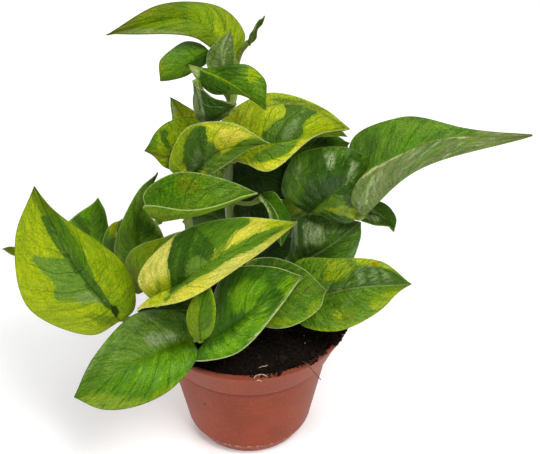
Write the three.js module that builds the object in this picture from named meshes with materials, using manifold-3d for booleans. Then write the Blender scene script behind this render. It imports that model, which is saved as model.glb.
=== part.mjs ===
// A lemon joy pothos, a variegated climbing aroid, growing in a thin plastic nursery pot.
// Millimetres, +Z up, with the plant's front towards -Y. The origin is the centre of the pot's underside.
// A leaf is one solid, blade and petiole together, and its petiole is seated on one of the stems.
import * as THREE from "three";
import { mergeVertices } from "three/addons/utils/BufferGeometryUtils.js";
import Module from "manifold-3d";

const wasm = await Module();
wasm.setup();
const { lerp, clamp, degToRad } = THREE.MathUtils;

// Driving dimensions of the nursery pot.
const POT = {
  height: 87,
  rimRadius: 60,
  lipHeight: 3.2,
  lipProud: 0.8,
  collarHeight: 24,
  collarFootRadius: 50.5,
  wallTopRadius: 48.6,
  wallFootRadius: 38,
  chamferHeight: 9,
  baseRadius: 32.5,
  wall: 1.6,
  footRing: 4,
  centrePad: 11,
  baseLift: 2,
  drainHoles: 6,
  drainRadius: 3.5,
  drainCircle: 20,
  sides: 36,
};

// The potting soil: how far its edge lies below the rim, its mound in the middle, and its lumps.
const SOIL = { edgeDrop: 3, mound: 5, lump: 1.2, rings: 6, sides: 30 };

// What the leaves share: the blade's thickness, and how much thicker it is along the midrib; how far
// each half of a blade bulges between midrib and margin; the margin's ripple; and the petiole.
const BLADE = { thickness: 0.9, rib: 1.5, crown: 2.5, ripple: 0.8, waves: 2.2 };
const PETIOLE = { radius: 1.5, steps: 6, sides: 5, overlap: 1.5 };
const STEM = { steps: 12, sides: 8 };

// How finely a blade is divided: rows from base to tip, and columns in each half.
const LARGE_LEAF = 45;
const LARGE_GRID = { rows: 8, halfColumns: 3 };
const SMALL_GRID = { rows: 6, halfColumns: 2 };

// The gap that a seated piece keeps to what holds it.
const SEAT_GAP = 0.3;

// Colours and finishes of the pieces.
const TERRACOTTA = { color: 0xb0604a, roughness: 0.55 };
const EARTH = { color: 0x2a1c14, roughness: 0.95 };
const STALK = { color: 0x8fae55, roughness: 0.5 };
const GREEN = { color: 0x4f8f1f, roughness: 0.45 };

// The front sight. A leaf's points are set out as they line up seen from here: across and down a
// frame of 540 by 454 sight units, then their depth in millimetres behind the pot's axis.
const SIGHT = { elevation: 36, distance: 700, focal: 1240, centre: [270, 227], aim: [13, 0, 146] };
const rise = degToRad(SIGHT.elevation);
const BACK = new THREE.Vector3(0, -Math.cos(rise), Math.sin(rise));
const UP = new THREE.Vector3(0, Math.sin(rise), Math.cos(rise));
const EYE = new THREE.Vector3(...SIGHT.aim).addScaledVector(BACK, SIGHT.distance);

function sighted([across, down], depth) {
  const ray = BACK.clone().multiplyScalar(-SIGHT.focal);
  ray.x += across - SIGHT.centre[0];
  ray.addScaledVector(UP, SIGHT.centre[1] - down);
  return EYE.clone().addScaledVector(ray, (depth - EYE.y) / ray.y);
}

// The stems, as points along their axes from foot to top, with the radius at each end.
const STEMS = {
  stem_main: {
    radius: [3.4, 2.6],
    points: [[-4, 8, 58], [-7, 9, 110], [-10, 8, 165], [-9, 4, 215], [-4, 1, 244]],
  },
  stem_left: {
    radius: [3, 2.2],
    points: [[-20, -4, 58], [-24, -8, 100], [-31, -8, 130], [-33, -2, 158]],
  },
  stem_right: {
    radius: [3, 2.2],
    points: [[16, 2, 58], [20, 4, 100], [30, 6, 135], [44, 8, 160]],
  },
  stem_front: {
    radius: [2.8, 2],
    points: [[-2, -20, 58], [-2, -24, 90], [-6, -26, 120]],
  },
  stem_back: {
    radius: [2.8, 2],
    points: [[6, 24, 58], [8, 32, 100], [6, 36, 150]],
  },
};

// Each leaf: where its petiole sits, as a stem and a share of that stem's length; the depths of its base,
// mid, tip, left margin and right margin; and the sighted points of its midrib from base to tip, and of
// its two margins at the lobe, the widest place and the shoulder. Left and right are as seen from the
// base, looking along the upper face. A crown of its own is that leaf's bulge, and a via is a sighted
// point, with its depth, that draws the petiole aside.
const LEAVES = {
  leaf_crown: {
    on: ["stem_main", 1], depth: [4, 10, -12, -4, 28],
    midrib: [[236, 58], [192, 20], [106, 35]],
    left: [[222, 50], [197, 37], [140, 33]], right: [[245, 35], [218, 7], [160, 6]],
  },
  leaf_crown_back: {
    on: ["stem_main", 0.965], depth: [-6, -9, -7, -5, -8],
    midrib: [[222, 68], [222, 48], [231, 29]],
    left: [[233, 66], [235, 50], [233, 37]], right: [[208, 68], [208, 52], [220, 38]],
  },
  leaf_crown_left: {
    on: ["stem_main", 0.93], depth: [-2, -8, -20, -8, 6],
    midrib: [[210, 52], [188, 63], [160, 81]],
    left: [[206, 64], [190, 72], [173, 78]], right: [[201, 44], [180, 43], [161, 60]],
  },
  leaf_sprout: {
    on: ["stem_main", 0.9], depth: [2, 2, -2, -1, 5], via: [237, 54, 9], crown: -0.5,
    midrib: [[249, 46], [254, 33], [265, 16]],
    left: [[249, 40], [251, 30], [258, 21]], right: [[253, 42], [257, 34], [261, 25]],
  },
  leaf_sickle: {
    on: ["stem_main", 0.895], depth: [-16, -20, -26, -8, -22], via: [208, 80, -10],
    midrib: [[188, 65], [226, 81], [266, 110]],
    left: [[212, 73], [243, 65], [267, 83]], right: [[197, 80], [213, 94], [238, 95]],
  },
  leaf_sickle_low: {
    on: ["stem_main", 0.845], depth: [-26, -31, -30, -35, -14], via: [206, 106, -8],
    midrib: [[193, 80], [205, 104], [237, 104]],
    left: [[199, 88], [211, 95], [224, 101]], right: [[199, 98], [202, 122], [219, 121]],
  },
  leaf_point: {
    on: ["stem_main", 0.6], depth: [4, 6, 8, 2, 10],
    midrib: [[194, 134], [183, 116], [170, 97]],
    left: [[180, 138], [172, 122], [171, 107]], right: [[200, 128], [197, 114], [181, 103]],
  },
  leaf_left_high: {
    on: ["stem_main", 0.55], depth: [-12, -20, -26, -22, -8],
    midrib: [[186, 160], [167, 153], [144, 151]],
    left: [[182, 171], [164, 167], [154, 157]], right: [[196, 118], [172, 120], [153, 135]],
  },
  leaf_yellow_edge: {
    on: ["stem_main", 0.66], depth: [-22, -32, -44, -26, -34],
    midrib: [[194, 173], [222, 150], [270, 143]],
    left: [[170, 170], [187, 127], [232, 123]], right: [[205, 177], [222, 168], [248, 150]],
  },
  leaf_lime_dark: {
    on: ["stem_main", 0.72], depth: [-12, -20, -12, 8, -34],
    midrib: [[232, 160], [285, 140], [350, 129]],
    left: [[221, 122], [266, 94], [326, 109]], right: [[246, 164], [268, 172], [312, 139]],
  },
  leaf_lime_back: {
    on: ["stem_main", 0.78], depth: [14, 14, 6, 24, 10],
    midrib: [[262, 130], [305, 120], [348, 137]],
    left: [[262, 108], [296, 102], [330, 115]], right: [[272, 138], [298, 137], [327, 137]],
  },
  leaf_cupped: {
    on: ["stem_left", 1], depth: [-34, -48, -50, -34, -60], crown: -2,
    midrib: [[157, 221], [197, 213], [258, 193]],
    left: [[144, 194], [178, 172], [236, 183]], right: [[144, 206], [183, 211], [235, 200]],
  },
  leaf_cream: {
    on: ["stem_left", 0.6], depth: [-46, -62, -48, -44, -72],
    midrib: [[156, 304], [212, 262], [298, 222]],
    left: [[139, 276], [178, 234], [240, 217]], right: [[131, 307], [182, 302], [254, 257]],
  },
  leaf_left_big: {
    on: ["stem_left", 0.5], depth: [-42, -44, -34, -52, -30], via: [148, 326, -30],
    midrib: [[120, 321], [72, 262], [34, 186]],
    left: [[82, 334], [24, 300], [16, 240]], right: [[134, 310], [125, 266], [60, 214]],
  },
  leaf_front_left: {
    on: ["stem_front", 0.77], depth: [-46, -58, -66, -72, -40],
    midrib: [[193, 340], [136, 362], [74, 397]],
    left: [[197, 357], [165, 394], [105, 410]], right: [[184, 314], [137, 313], [95, 355]],
  },
  leaf_front: {
    on: ["stem_front", 0.9], depth: [-52, -54, -46, -36, -66], via: [216, 338, -44],
    midrib: [[205, 345], [252, 310], [303, 276]],
    left: [[208, 312], [228, 271], [276, 267]], right: [[197, 362], [236, 354], [283, 304]],
  },
  leaf_small_front: {
    on: ["stem_front", 0.5], depth: [-66, -70, -62, -67, -73], via: [192, 350, -40],
    midrib: [[201, 341], [200, 312], [210, 278]],
    left: [[190, 333], [187, 317], [197, 292]], right: [[211, 334], [216, 313], [213, 292]],
  },
  leaf_right_low: {
    on: ["stem_right", 0.35], depth: [-22, -36, -40, -24, -46],
    midrib: [[296, 304], [354, 288], [412, 284]],
    left: [[296, 262], [335, 258], [383, 262]], right: [[300, 324], [336, 331], [383, 304]],
  },
  leaf_right_inner: {
    on: ["stem_front", 0.6], depth: [-30, -42, -46, -24, -54],
    midrib: [[250, 306], [292, 292], [327, 290]],
    left: [[246, 264], [270, 257], [306, 270]], right: [[262, 325], [290, 327], [322, 306]],
  },
  leaf_right_gloss: {
    on: ["stem_right", 0.6], depth: [-4, -14, -8, 2, -16],
    midrib: [[290, 268], [330, 246], [361, 222]],
    left: [[290, 242], [300, 217], [340, 218]], right: [[310, 275], [348, 266], [360, 240]],
  },
  leaf_right_dark: {
    on: ["stem_right", 0.92], depth: [-4, -14, -10, -2, -16],
    midrib: [[308, 213], [338, 190], [370, 158]],
    left: [[282, 192], [297, 155], [345, 147]], right: [[318, 215], [347, 219], [359, 189]],
  },
  leaf_right_long: {
    on: ["stem_right", 1], depth: [-18, -22, -14, 26, -42], crown: -1,
    midrib: [[360, 216], [417, 168], [533, 133]],
    left: [[352, 140], [402, 118], [459, 126]], right: [[351, 197], [375, 167], [446, 137]],
  },
  leaf_right_small: {
    on: ["stem_right", 0.71], depth: [8, 4, 0, 10, 0],
    midrib: [[362, 212], [380, 215], [394, 232]],
    left: [[368, 200], [383, 203], [397, 220]], right: [[360, 220], [372, 225], [388, 227]],
  },
  leaf_left_back: {
    on: ["stem_left", 0.86], depth: [10, 12, 14, 12, 16],
    midrib: [[104, 258], [91, 228], [98, 197]],
    left: [[78, 256], [64, 228], [82, 210]], right: [[112, 250], [109, 230], [105, 210]],
  },
  leaf_left_edge: {
    on: ["stem_left", 0.75], depth: [2, 0, 2, 5, -3],
    midrib: [[124, 272], [114, 246], [122, 219]],
    left: [[110, 268], [104, 244], [112, 223]], right: [[124, 262], [119, 247], [117, 232]],
  },
  leaf_left_dark: {
    on: ["stem_left", 0.8], depth: [-10, -6, 0, -10, -4],
    midrib: [[144, 268], [138, 220], [158, 172]],
    left: [[117, 262], [119, 227], [139, 190]], right: [[165, 255], [162, 232], [144, 203]],
  },
  leaf_left_inner: {
    on: ["stem_left", 0.67], depth: [-24, -28, -26, -21, -33],
    midrib: [[136, 292], [150, 262], [180, 233]],
    left: [[124, 275], [131, 251], [160, 238]], right: [[150, 290], [160, 278], [172, 250]],
  },
  leaf_hanging: {
    on: ["stem_main", 0.52], depth: [-14, -26, -30, -20, -26], via: [246, 212, -12],
    midrib: [[260, 194], [277, 215], [281, 246]],
    left: [[274, 192], [287, 213], [289, 233]], right: [[259, 199], [268, 213], [272, 232]],
  },
  leaf_shade_low: {
    on: ["stem_main", 0.3], depth: [-10, -16, -18, -6, -22],
    midrib: [[246, 270], [268, 254], [292, 238]],
    left: [[250, 252], [270, 240], [288, 234]], right: [[256, 272], [276, 266], [290, 252]],
  },
  leaf_shade_mid: {
    on: ["stem_main", 0.42], depth: [4, -4, -8, 8, -6],
    midrib: [[236, 222], [256, 210], [274, 222]],
    left: [[236, 204], [258, 199], [274, 210]], right: [[240, 230], [254, 230], [268, 232]],
  },
  leaf_shade_high: {
    on: ["stem_main", 0.6], depth: [6, 4, 2, 16, 3],
    midrib: [[226, 186], [256, 176], [296, 188]],
    left: [[226, 166], [250, 154], [286, 162]], right: [[236, 199], [262, 200], [288, 198]],
  },
  leaf_shade_right: {
    on: ["stem_right", 0.85], depth: [10, 14, 14, 20, 8],
    midrib: [[288, 172], [318, 150], [350, 143]],
    left: [[286, 150], [324, 133], [342, 138]], right: [[300, 178], [336, 164], [348, 150]],
  },
  leaf_far_left: {
    on: ["stem_left", 0.57], depth: [26, 24, 18, 20, 30], via: [84, 252, 32],
    midrib: [[44, 256], [24, 252], [2, 249]],
    left: [[38, 266], [24, 259], [12, 255]], right: [[36, 246], [22, 246], [11, 247]],
  },
  leaf_shade_front: {
    on: ["stem_front", 0.68], depth: [-26, -30, -34, -30, -24],
    midrib: [[222, 318], [186, 308], [150, 304]],
    left: [[210, 326], [184, 322], [162, 314]], right: [[212, 304], [186, 294], [162, 295]],
  },
  leaf_behind_top: {
    on: ["stem_main", 0.82], depth: [34, 56, 76, 54, 56],
    midrib: [[276, 128], [284, 116], [296, 126]],
    left: [[262, 122], [258, 112], [278, 112]], right: [[290, 130], [308, 122], [308, 122]],
  },
  leaf_behind_mid: {
    on: ["stem_back", 1], depth: [52, 76, 98, 74, 74],
    midrib: [[248, 176], [246, 164], [244, 172]],
    left: [[226, 172], [208, 166], [224, 166]], right: [[270, 172], [286, 166], [266, 166]],
  },
  leaf_behind_left: {
    on: ["stem_back", 0.8], depth: [44, 56, 68, 50, 64],
    midrib: [[226, 196], [204, 184], [182, 190]],
    left: [[218, 206], [194, 204], [180, 198]], right: [[232, 174], [214, 164], [190, 176]],
  },
  leaf_behind_right: {
    on: ["stem_right", 0.78], depth: [38, 58, 74, 64, 50],
    midrib: [[304, 184], [322, 176], [342, 186]],
    left: [[296, 172], [308, 160], [332, 168]], right: [[312, 194], [330, 198], [344, 194]],
  },
  leaf_behind_low_left: {
    on: ["stem_back", 0.55], depth: [46, 64, 84, 56, 66],
    midrib: [[232, 226], [208, 214], [182, 222]],
    left: [[226, 240], [202, 240], [184, 234]], right: [[230, 212], [210, 196], [188, 205]],
  },
  leaf_behind_low_right: {
    on: ["stem_back", 0.45], depth: [46, 64, 86, 68, 58],
    midrib: [[278, 222], [304, 212], [330, 222]],
    left: [[276, 206], [298, 190], [322, 204]], right: [[284, 236], [306, 240], [328, 234]],
  },
};

// Helpers between three.js geometry and closed solids.
function solidOf(geometry) {
  const bare = geometry.index ? geometry.toNonIndexed() : geometry;
  const points = new THREE.BufferGeometry().setAttribute("position", bare.getAttribute("position"));
  const merged = mergeVertices(points, 1e-4);
  return new wasm.Manifold(new wasm.Mesh({
    numProp: 3,
    vertProperties: merged.attributes.position.array,
    triVerts: new Uint32Array(merged.index.array),
  }));
}

function geometryOf(solid) {
  const { vertProperties, triVerts } = solid.getMesh();
  return new THREE.BufferGeometry()
    .setAttribute("position", new THREE.BufferAttribute(vertProperties, 3))
    .setIndex(new THREE.BufferAttribute(triVerts, 1));
}

// A solid from loose triangles, as a flat list of their corner points.
function solidOfCorners(corners) {
  const position = new THREE.Float32BufferAttribute(corners.flatMap((p) => [p.x, p.y, p.z]), 3);
  return solidOf(new THREE.BufferGeometry().setAttribute("position", position));
}

const part = new THREE.Group();

function addNode(name, solid, finish) {
  const material = new THREE.MeshStandardMaterial({ ...finish, metalness: 0, flatShading: true });
  const mesh = new THREE.Mesh(geometryOf(solid), material);
  mesh.name = name;
  part.add(mesh);
}

// A turned shape, from [radius, height] pairs that start and end on the axis.
function turned(profile, sides) {
  const points = profile.map(([radius, height]) => new THREE.Vector2(radius, height));
  return new THREE.LatheGeometry(points, sides).rotateX(Math.PI / 2);
}

// A round rod along a curve, whose radius follows the share of its length.
function rod(curve, radiusAt, steps, sides) {
  const frames = curve.computeFrenetFrames(steps, false);
  const ring = (i) => {
    const centre = curve.getPointAt(i / steps);
    const radius = radiusAt(i / steps);
    return Array.from({ length: sides }, (_, k) => {
      const angle = (k / sides) * 2 * Math.PI;
      return centre.clone()
        .addScaledVector(frames.normals[i], radius * Math.cos(angle))
        .addScaledVector(frames.binormals[i], radius * Math.sin(angle));
    });
  };
  const rings = Array.from({ length: steps + 1 }, (_, i) => ring(i));
  const corners = [];
  for (let i = 0; i < steps; i++)
    for (let k = 0; k < sides; k++) {
      const next = (k + 1) % sides;
      corners.push(rings[i][k], rings[i][next], rings[i + 1][next]);
      corners.push(rings[i][k], rings[i + 1][next], rings[i + 1][k]);
    }
  for (let k = 1; k < sides - 1; k++) {
    corners.push(rings[0][0], rings[0][k + 1], rings[0][k]);
    corners.push(rings[steps][0], rings[steps][k], rings[steps][k + 1]);
  }
  return solidOfCorners(corners);
}

// The pot: a thin turned shell with a lip, a flared collar, a chamfered foot, and a base that is lifted
// between its foot ring and a pad in the middle, where the drain holes are.
function potSolid() {
  const p = POT;
  const collarFoot = p.height - p.collarHeight;
  const liftedRadius = p.baseRadius - p.footRing;
  const lipFoot = p.height - p.lipHeight;
  const outside = [
    [0, 0],
    [p.centrePad, 0],
    [p.centrePad + p.baseLift, p.baseLift],
    [liftedRadius - p.baseLift, p.baseLift],
    [liftedRadius, 0],
    [p.baseRadius, 0],
    [p.wallFootRadius, p.chamferHeight],
    [p.wallTopRadius, collarFoot],
    [p.collarFootRadius, collarFoot + p.lipProud],
    [p.rimRadius - 2 * p.lipProud, lipFoot - p.lipProud],
    [p.rimRadius, lipFoot],
    [p.rimRadius, p.height],
  ];
  const inside = [
    [p.rimRadius - p.wall, p.height],
    [p.collarFootRadius - p.wall, collarFoot + p.wall],
    [p.wallTopRadius - p.wall, collarFoot - p.wall],
    [p.wallFootRadius - p.wall, p.chamferHeight + p.lipProud],
    [p.baseRadius - p.wall, p.wall + p.baseLift],
    [0, p.wall + p.baseLift],
  ];
  let pot = solidOf(turned([...outside, ...inside], p.sides));
  for (let k = 0; k < p.drainHoles; k++) {
    const angle = ((k + 0.5) / p.drainHoles) * 2 * Math.PI;
    const hole = new THREE.CylinderGeometry(p.drainRadius, p.drainRadius, 4 * (p.wall + p.baseLift), 10)
      .rotateX(Math.PI / 2)
      .translate(p.drainCircle * Math.cos(angle), p.drainCircle * Math.sin(angle), 0);
    pot = pot.subtract(solidOf(hole));
  }
  return pot;
}

// The stems: each keeps its curve for the petioles, and its outside with the seat gap added.
const stems = {};
for (const [name, { radius, points }] of Object.entries(STEMS)) {
  const curve = new THREE.CatmullRomCurve3(points.map((p) => new THREE.Vector3(...p)));
  const radiusAt = (share) => lerp(radius[0], radius[1], share);
  const seatAt = (share) => radiusAt(share) + SEAT_GAP;
  stems[name] = {
    curve,
    solid: rod(curve, radiusAt, STEM.steps, STEM.sides),
    seat: rod(curve, seatAt, STEM.steps, STEM.sides),
  };
}

// How high the soil lies at a radius and an angle: a mound, with lumps that fade out at the edge.
function soilHeight(radius, angle) {
  const share = radius / POT.rimRadius;
  const lumps = Math.sin(3 * angle + 7 * share)
    + Math.sin(5 * angle - 11 * share)
    + Math.cos(8 * angle + 17 * share);
  const mound = SOIL.mound * (1 - share ** 2) + SOIL.lump * lumps * share * (1 - share ** 4);
  return POT.height - SOIL.edgeDrop + mound;
}

// The soil fills the pot up to the seat gap, and the stems stand in plain holes in it.
function soilSolid() {
  const p = POT;
  const collarFoot = p.height - p.collarHeight;
  const inset = p.wall + 2 * SEAT_GAP;
  const slope = (p.rimRadius - p.collarFootRadius) / p.collarHeight;
  const edgeHeight = p.height - SOIL.edgeDrop;
  const edgeRadius = p.rimRadius - inset - slope * SOIL.edgeDrop;
  const floor = p.baseLift + p.wall + SEAT_GAP;
  const profile = [
    [0, floor],
    [p.baseRadius - inset, floor],
    [p.wallFootRadius - inset, p.chamferHeight + p.wall],
    [p.wallTopRadius - inset, collarFoot - p.wall],
    [p.collarFootRadius - inset, collarFoot + 2 * p.wall],
    [edgeRadius, edgeHeight],
  ];
  for (let i = SOIL.rings - 1; i >= 0; i--) profile.push([(edgeRadius * i) / SOIL.rings, edgeHeight]);
  const geometry = turned(profile, SOIL.sides);
  const at = geometry.getAttribute("position");
  for (let i = 0; i < at.count; i++) {
    const radius = Math.hypot(at.getX(i), at.getY(i));
    const onTop = at.getZ(i) > edgeHeight - SEAT_GAP && radius < edgeRadius - SEAT_GAP;
    if (onTop) at.setZ(i, soilHeight(radius, radius > 0 ? Math.atan2(at.getY(i), at.getX(i)) : 0));
  }
  let soil = solidOf(geometry);
  for (const { seat } of Object.values(stems)) soil = soil.subtract(seat);
  return soil;
}

// How far along the midrib a line across the blade starts, against how far along the margin it ends:
// round the lobes of the arrowhead base, the margin runs ahead.
const midribShare = (t) => t ** 1.5;

// A leaf's blade as a surface: lines across it, from the midrib to the margins, arched by the crown.
function bladeSurface(leaf) {
  const [base, mid, tip, left, right] = leaf.depth;
  const ribPoints = [base, mid, tip].map((depth, i) => sighted(leaf.midrib[i], depth));
  const midrib = new THREE.CatmullRomCurve3(ribPoints);
  const marginOf = (points, side) => {
    const depths = [lerp(base, side, 0.6), side, lerp(side, tip, 0.55)];
    const between = depths.map((depth, i) => sighted(points[i], depth));
    return new THREE.CatmullRomCurve3([ribPoints[0], ...between, ribPoints[2]]);
  };
  const leftMargin = marginOf(leaf.left, left);
  const rightMargin = marginOf(leaf.right, right);

  // The blade's own up, which near the midrib is shared by its two halves.
  const upAt = (t, v) => {
    const share = clamp(t, 0.05, 0.95);
    const onRib = midrib.getPoint(midribShare(share));
    const tangent = midrib.getTangent(midribShare(share));
    const leftUp = tangent.clone().cross(leftMargin.getPoint(share).sub(onRib)).normalize();
    const rightUp = rightMargin.getPoint(share).sub(onRib).cross(tangent).normalize();
    const shared = leftUp.clone().add(rightUp).normalize();
    return shared.lerp(v > 0 ? leftUp : rightUp, Math.min(1, 2 * Math.abs(v))).normalize();
  };

  // The point of the upper or lower face (face 1 or -1) at share t from base to tip and v across,
  // from 1 at the left margin to -1 at the right one.
  const pointAt = (t, v, face) => {
    const across = Math.abs(v);
    const taper = Math.sin(Math.PI * t) ** 0.7;
    const crown = (leaf.crown ?? BLADE.crown) * 4 * across * (1 - across) * taper;
    const phase = v > 0 ? 0 : 0.35;
    const wave = Math.sin(2 * Math.PI * (BLADE.waves * t + phase));
    const ripple = BLADE.ripple * across ** 2 * wave * taper;
    const thickness = BLADE.thickness + BLADE.rib * (1 - across) ** 6 * Math.sqrt(1 - t);
    const lift = BLADE.thickness / 2 + crown + ripple - (face > 0 ? 0 : thickness);
    const edge = (v > 0 ? leftMargin : rightMargin).getPoint(t);
    return midrib.getPoint(midribShare(t)).lerp(edge, across).addScaledVector(upAt(t, v), lift);
  };
  return {
    pointAt,
    up: upAt(0, 0),
    base: ribPoints[0],
    start: midrib.getTangent(0),
    length: midrib.getLength(),
  };
}

// The blade as a solid. Both faces are cut into triangles alike, so they stay the blade's thickness apart.
function bladeSolid({ pointAt }, { rows, halfColumns }) {
  const columns = 2 * halfColumns;
  const faceOf = (face) => Array.from({ length: rows + 1 }, (_, i) =>
    Array.from({ length: columns + 1 }, (_, j) => {
      const isEnd = i === 0 || i === rows;
      return pointAt(i / rows, isEnd ? 0 : 1 - j / halfColumns, face);
    }));
  const upper = faceOf(1);
  const lower = faceOf(-1);
  const corners = [];
  for (let i = 0; i < rows; i++)
    for (let j = 0; j < columns; j++) {
      if (i > 0) {
        corners.push(upper[i][j], upper[i][j + 1], upper[i + 1][j]);
        corners.push(lower[i][j], lower[i + 1][j], lower[i][j + 1]);
      }
      if (i < rows - 1) {
        corners.push(upper[i][j + 1], upper[i + 1][j + 1], upper[i + 1][j]);
        corners.push(lower[i][j + 1], lower[i + 1][j], lower[i + 1][j + 1]);
      }
    }
  for (let i = 0; i < rows; i++) {
    corners.push(upper[i][0], upper[i + 1][0], lower[i + 1][0]);
    corners.push(upper[i][0], lower[i + 1][0], lower[i][0]);
    corners.push(upper[i][columns], lower[i + 1][columns], upper[i + 1][columns]);
    corners.push(upper[i][columns], lower[i][columns], lower[i + 1][columns]);
  }
  return solidOfCorners(corners);
}

// A leaf's petiole leaves the stem upwards and outwards, and comes in under the blade's base.
function petioleSolid(leaf, blade) {
  const [stemName, share] = leaf.on;
  const seat = stems[stemName].curve.getPointAt(share);
  const climb = stems[stemName].curve.getTangentAt(share);
  const end = blade.base.clone()
    .addScaledVector(blade.start, PETIOLE.overlap)
    .addScaledVector(blade.up, -PETIOLE.radius * 0.8);
  const span = end.distanceTo(seat);
  const leave = seat.clone().lerp(end, 0.2).addScaledVector(climb, 0.15 * span);
  const straightIn = end.clone().addScaledVector(blade.start, -0.3 * span);
  const arrive = leaf.via ? sighted(leaf.via, leaf.via[2]) : straightIn;
  const curve = new THREE.CubicBezierCurve3(seat, leave, arrive, end);
  return rod(curve, () => PETIOLE.radius, PETIOLE.steps, PETIOLE.sides);
}

function leafSolid(leaf) {
  const blade = bladeSurface(leaf);
  const grid = blade.length > LARGE_LEAF ? LARGE_GRID : SMALL_GRID;
  return bladeSolid(blade, grid).add(petioleSolid(leaf, blade)).subtract(stems[leaf.on[0]].seat);
}

addNode("pot", potSolid(), TERRACOTTA);
addNode("soil", soilSolid(), EARTH);
for (const [name, { solid }] of Object.entries(stems)) addNode(name, solid, STALK);
for (const [name, leaf] of Object.entries(LEAVES)) addNode(name, leafSolid(leaf), GREEN);

export default part;
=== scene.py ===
# %% [markdown]
# # A lemon joy pothos in its nursery pot
# This file dresses the plain solids of a small house plant: forty leaves on thin stems, potting soil,
# and a terracotta-coloured plastic pot. A variegated leaf is a hard thing to paint, because its dark
# and pale fields run along the veins. So each leaf is a surface with two parameters, and everything
# that is painted on it follows those parameters or the same sight lines that give its outline.

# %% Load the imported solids
import bmesh
import bpy
import numpy as np
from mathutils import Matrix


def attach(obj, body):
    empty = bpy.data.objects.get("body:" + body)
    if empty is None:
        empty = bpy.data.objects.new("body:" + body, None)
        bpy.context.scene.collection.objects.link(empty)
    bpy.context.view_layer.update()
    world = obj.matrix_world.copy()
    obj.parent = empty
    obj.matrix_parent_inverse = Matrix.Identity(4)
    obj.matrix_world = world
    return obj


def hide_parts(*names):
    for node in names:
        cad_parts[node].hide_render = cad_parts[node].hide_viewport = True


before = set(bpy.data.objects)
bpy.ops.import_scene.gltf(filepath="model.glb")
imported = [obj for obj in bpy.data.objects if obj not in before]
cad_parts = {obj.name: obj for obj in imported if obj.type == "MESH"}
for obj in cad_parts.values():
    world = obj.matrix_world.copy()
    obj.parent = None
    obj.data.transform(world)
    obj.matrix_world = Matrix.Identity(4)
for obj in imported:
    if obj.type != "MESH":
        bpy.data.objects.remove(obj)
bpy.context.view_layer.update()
print(f"{len(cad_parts)} solids")

# %% [markdown]
# ## The sight
# The leaves were set out as they line up from in front and above, across and down a frame of
# 540 by 454 units, with a depth in millimetres behind the pot's axis. The camera stands at that same
# eye, so a point of the table lands on its own place in the picture. `sighted` goes from the frame to
# space, and `in_sight` goes back, which is how a mark on a leaf finds the leaf's surface.

# %% The sight and the camera
MM = 0.001
SIGHT = {"elevation": 36, "distance": 700, "focal": 1240, "width": 540}
CENTRE = np.array([270, 227])
AIM = np.array([13.0, 0.0, 146.0])
SENSOR = 36
rise = np.radians(SIGHT["elevation"])
RIGHT = np.array([1.0, 0.0, 0.0])
BACK = np.array([0, -np.cos(rise), np.sin(rise)])
UP = np.array([0, np.sin(rise), np.cos(rise)])
EYE = AIM + SIGHT["distance"] * BACK


def eye_ray(place):
    """The eye's ray through a place, given across and down."""
    across, down = np.array(place[:2]) - CENTRE
    return -SIGHT["focal"] * BACK + across * RIGHT - down * UP


def sighted(place, depth):
    """The point where the eye's ray through a place meets the upright plane at a depth."""
    ray = eye_ray(place)
    return EYE + ray * (depth - EYE[1]) / ray[1]


def in_sight(points):
    """Where points line up: focal length times sideways offset over distance ahead of the eye."""
    seen = points - EYE
    scale = SIGHT["focal"] / -(seen @ BACK)
    return CENTRE + np.stack([scale * (seen @ RIGHT), -scale * (seen @ UP)], -1)


def put(name, data):
    """A new object in the scene, which holds a camera, a lamp or a mesh."""
    made = bpy.data.objects.new(name, data)
    bpy.context.scene.collection.objects.link(made)
    return made


eye = bpy.data.cameras.new("eye")
eye.sensor_width = SENSOR
eye.lens = SENSOR * SIGHT["focal"] / SIGHT["width"]
camera = put("eye", eye)
camera.location = EYE * MM
camera.rotation_euler = (np.pi / 2 - rise, 0, 0)
bpy.context.scene.camera = camera
print(f"lens {eye.lens:.1f} mm, eye at {np.round(EYE * MM, 3)} m")

# %% [markdown]
# ## Floor and light
# The plant stands on plain white in soft daylight. A pale floor under a bright even sky gives the
# clean ground, a wide lamp from the front right puts the satin gleam on the leaves and the pot, and a
# weaker one from behind keeps the far edges from going dull.

# %% Floor, sky and lamps
SKY = 0.18
LAMPS = {
    "key": {"at": (0.4, -0.6, 1.2), "size": 0.6, "power": 17},
    "fill": {"at": (-0.9, -0.6, 0.9), "size": 0.9, "power": 6},
    "back": {"at": (-0.3, 0.9, 1.0), "size": 0.8, "power": 7},
}
LIT_POINT = np.array([0, 0, 0.13])


def add_lamp(name, at, size, power):
    """A square lamp at a place, turned so that its face looks at the middle of the plant."""
    lamp = bpy.data.lights.new(name, "AREA")
    lamp.size = size
    lamp.energy = power
    holder = put(name, lamp)
    towards = LIT_POINT - np.array(at)
    flat = np.hypot(towards[0], towards[1])
    holder.location = at
    holder.rotation_euler = (np.arctan2(flat, -towards[2]), 0, np.arctan2(-towards[0], towards[1]))


for name, lamp in LAMPS.items():
    add_lamp(name, **lamp)
sky = bpy.data.worlds.new("sky")
sky.use_nodes = True
light = sky.node_tree.nodes["Background"].inputs
light["Color"].default_value, light["Strength"].default_value = (1, 1, 1, 1), SKY
bpy.context.scene.world = sky
bpy.context.scene.view_settings.view_transform = "Standard"
print(f"{len(LAMPS)} lamps and a sky of {SKY}")

# %% [markdown]
# ## Shader maths
# A node tree is easier to read as arithmetic. `Value` wraps one output socket, and `+`, `-` and `*` on
# it add Math nodes, from either side. `Finish` holds a material, and its `node` method makes any other
# node from its type, its settings, and the values or links of its inputs.

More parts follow.
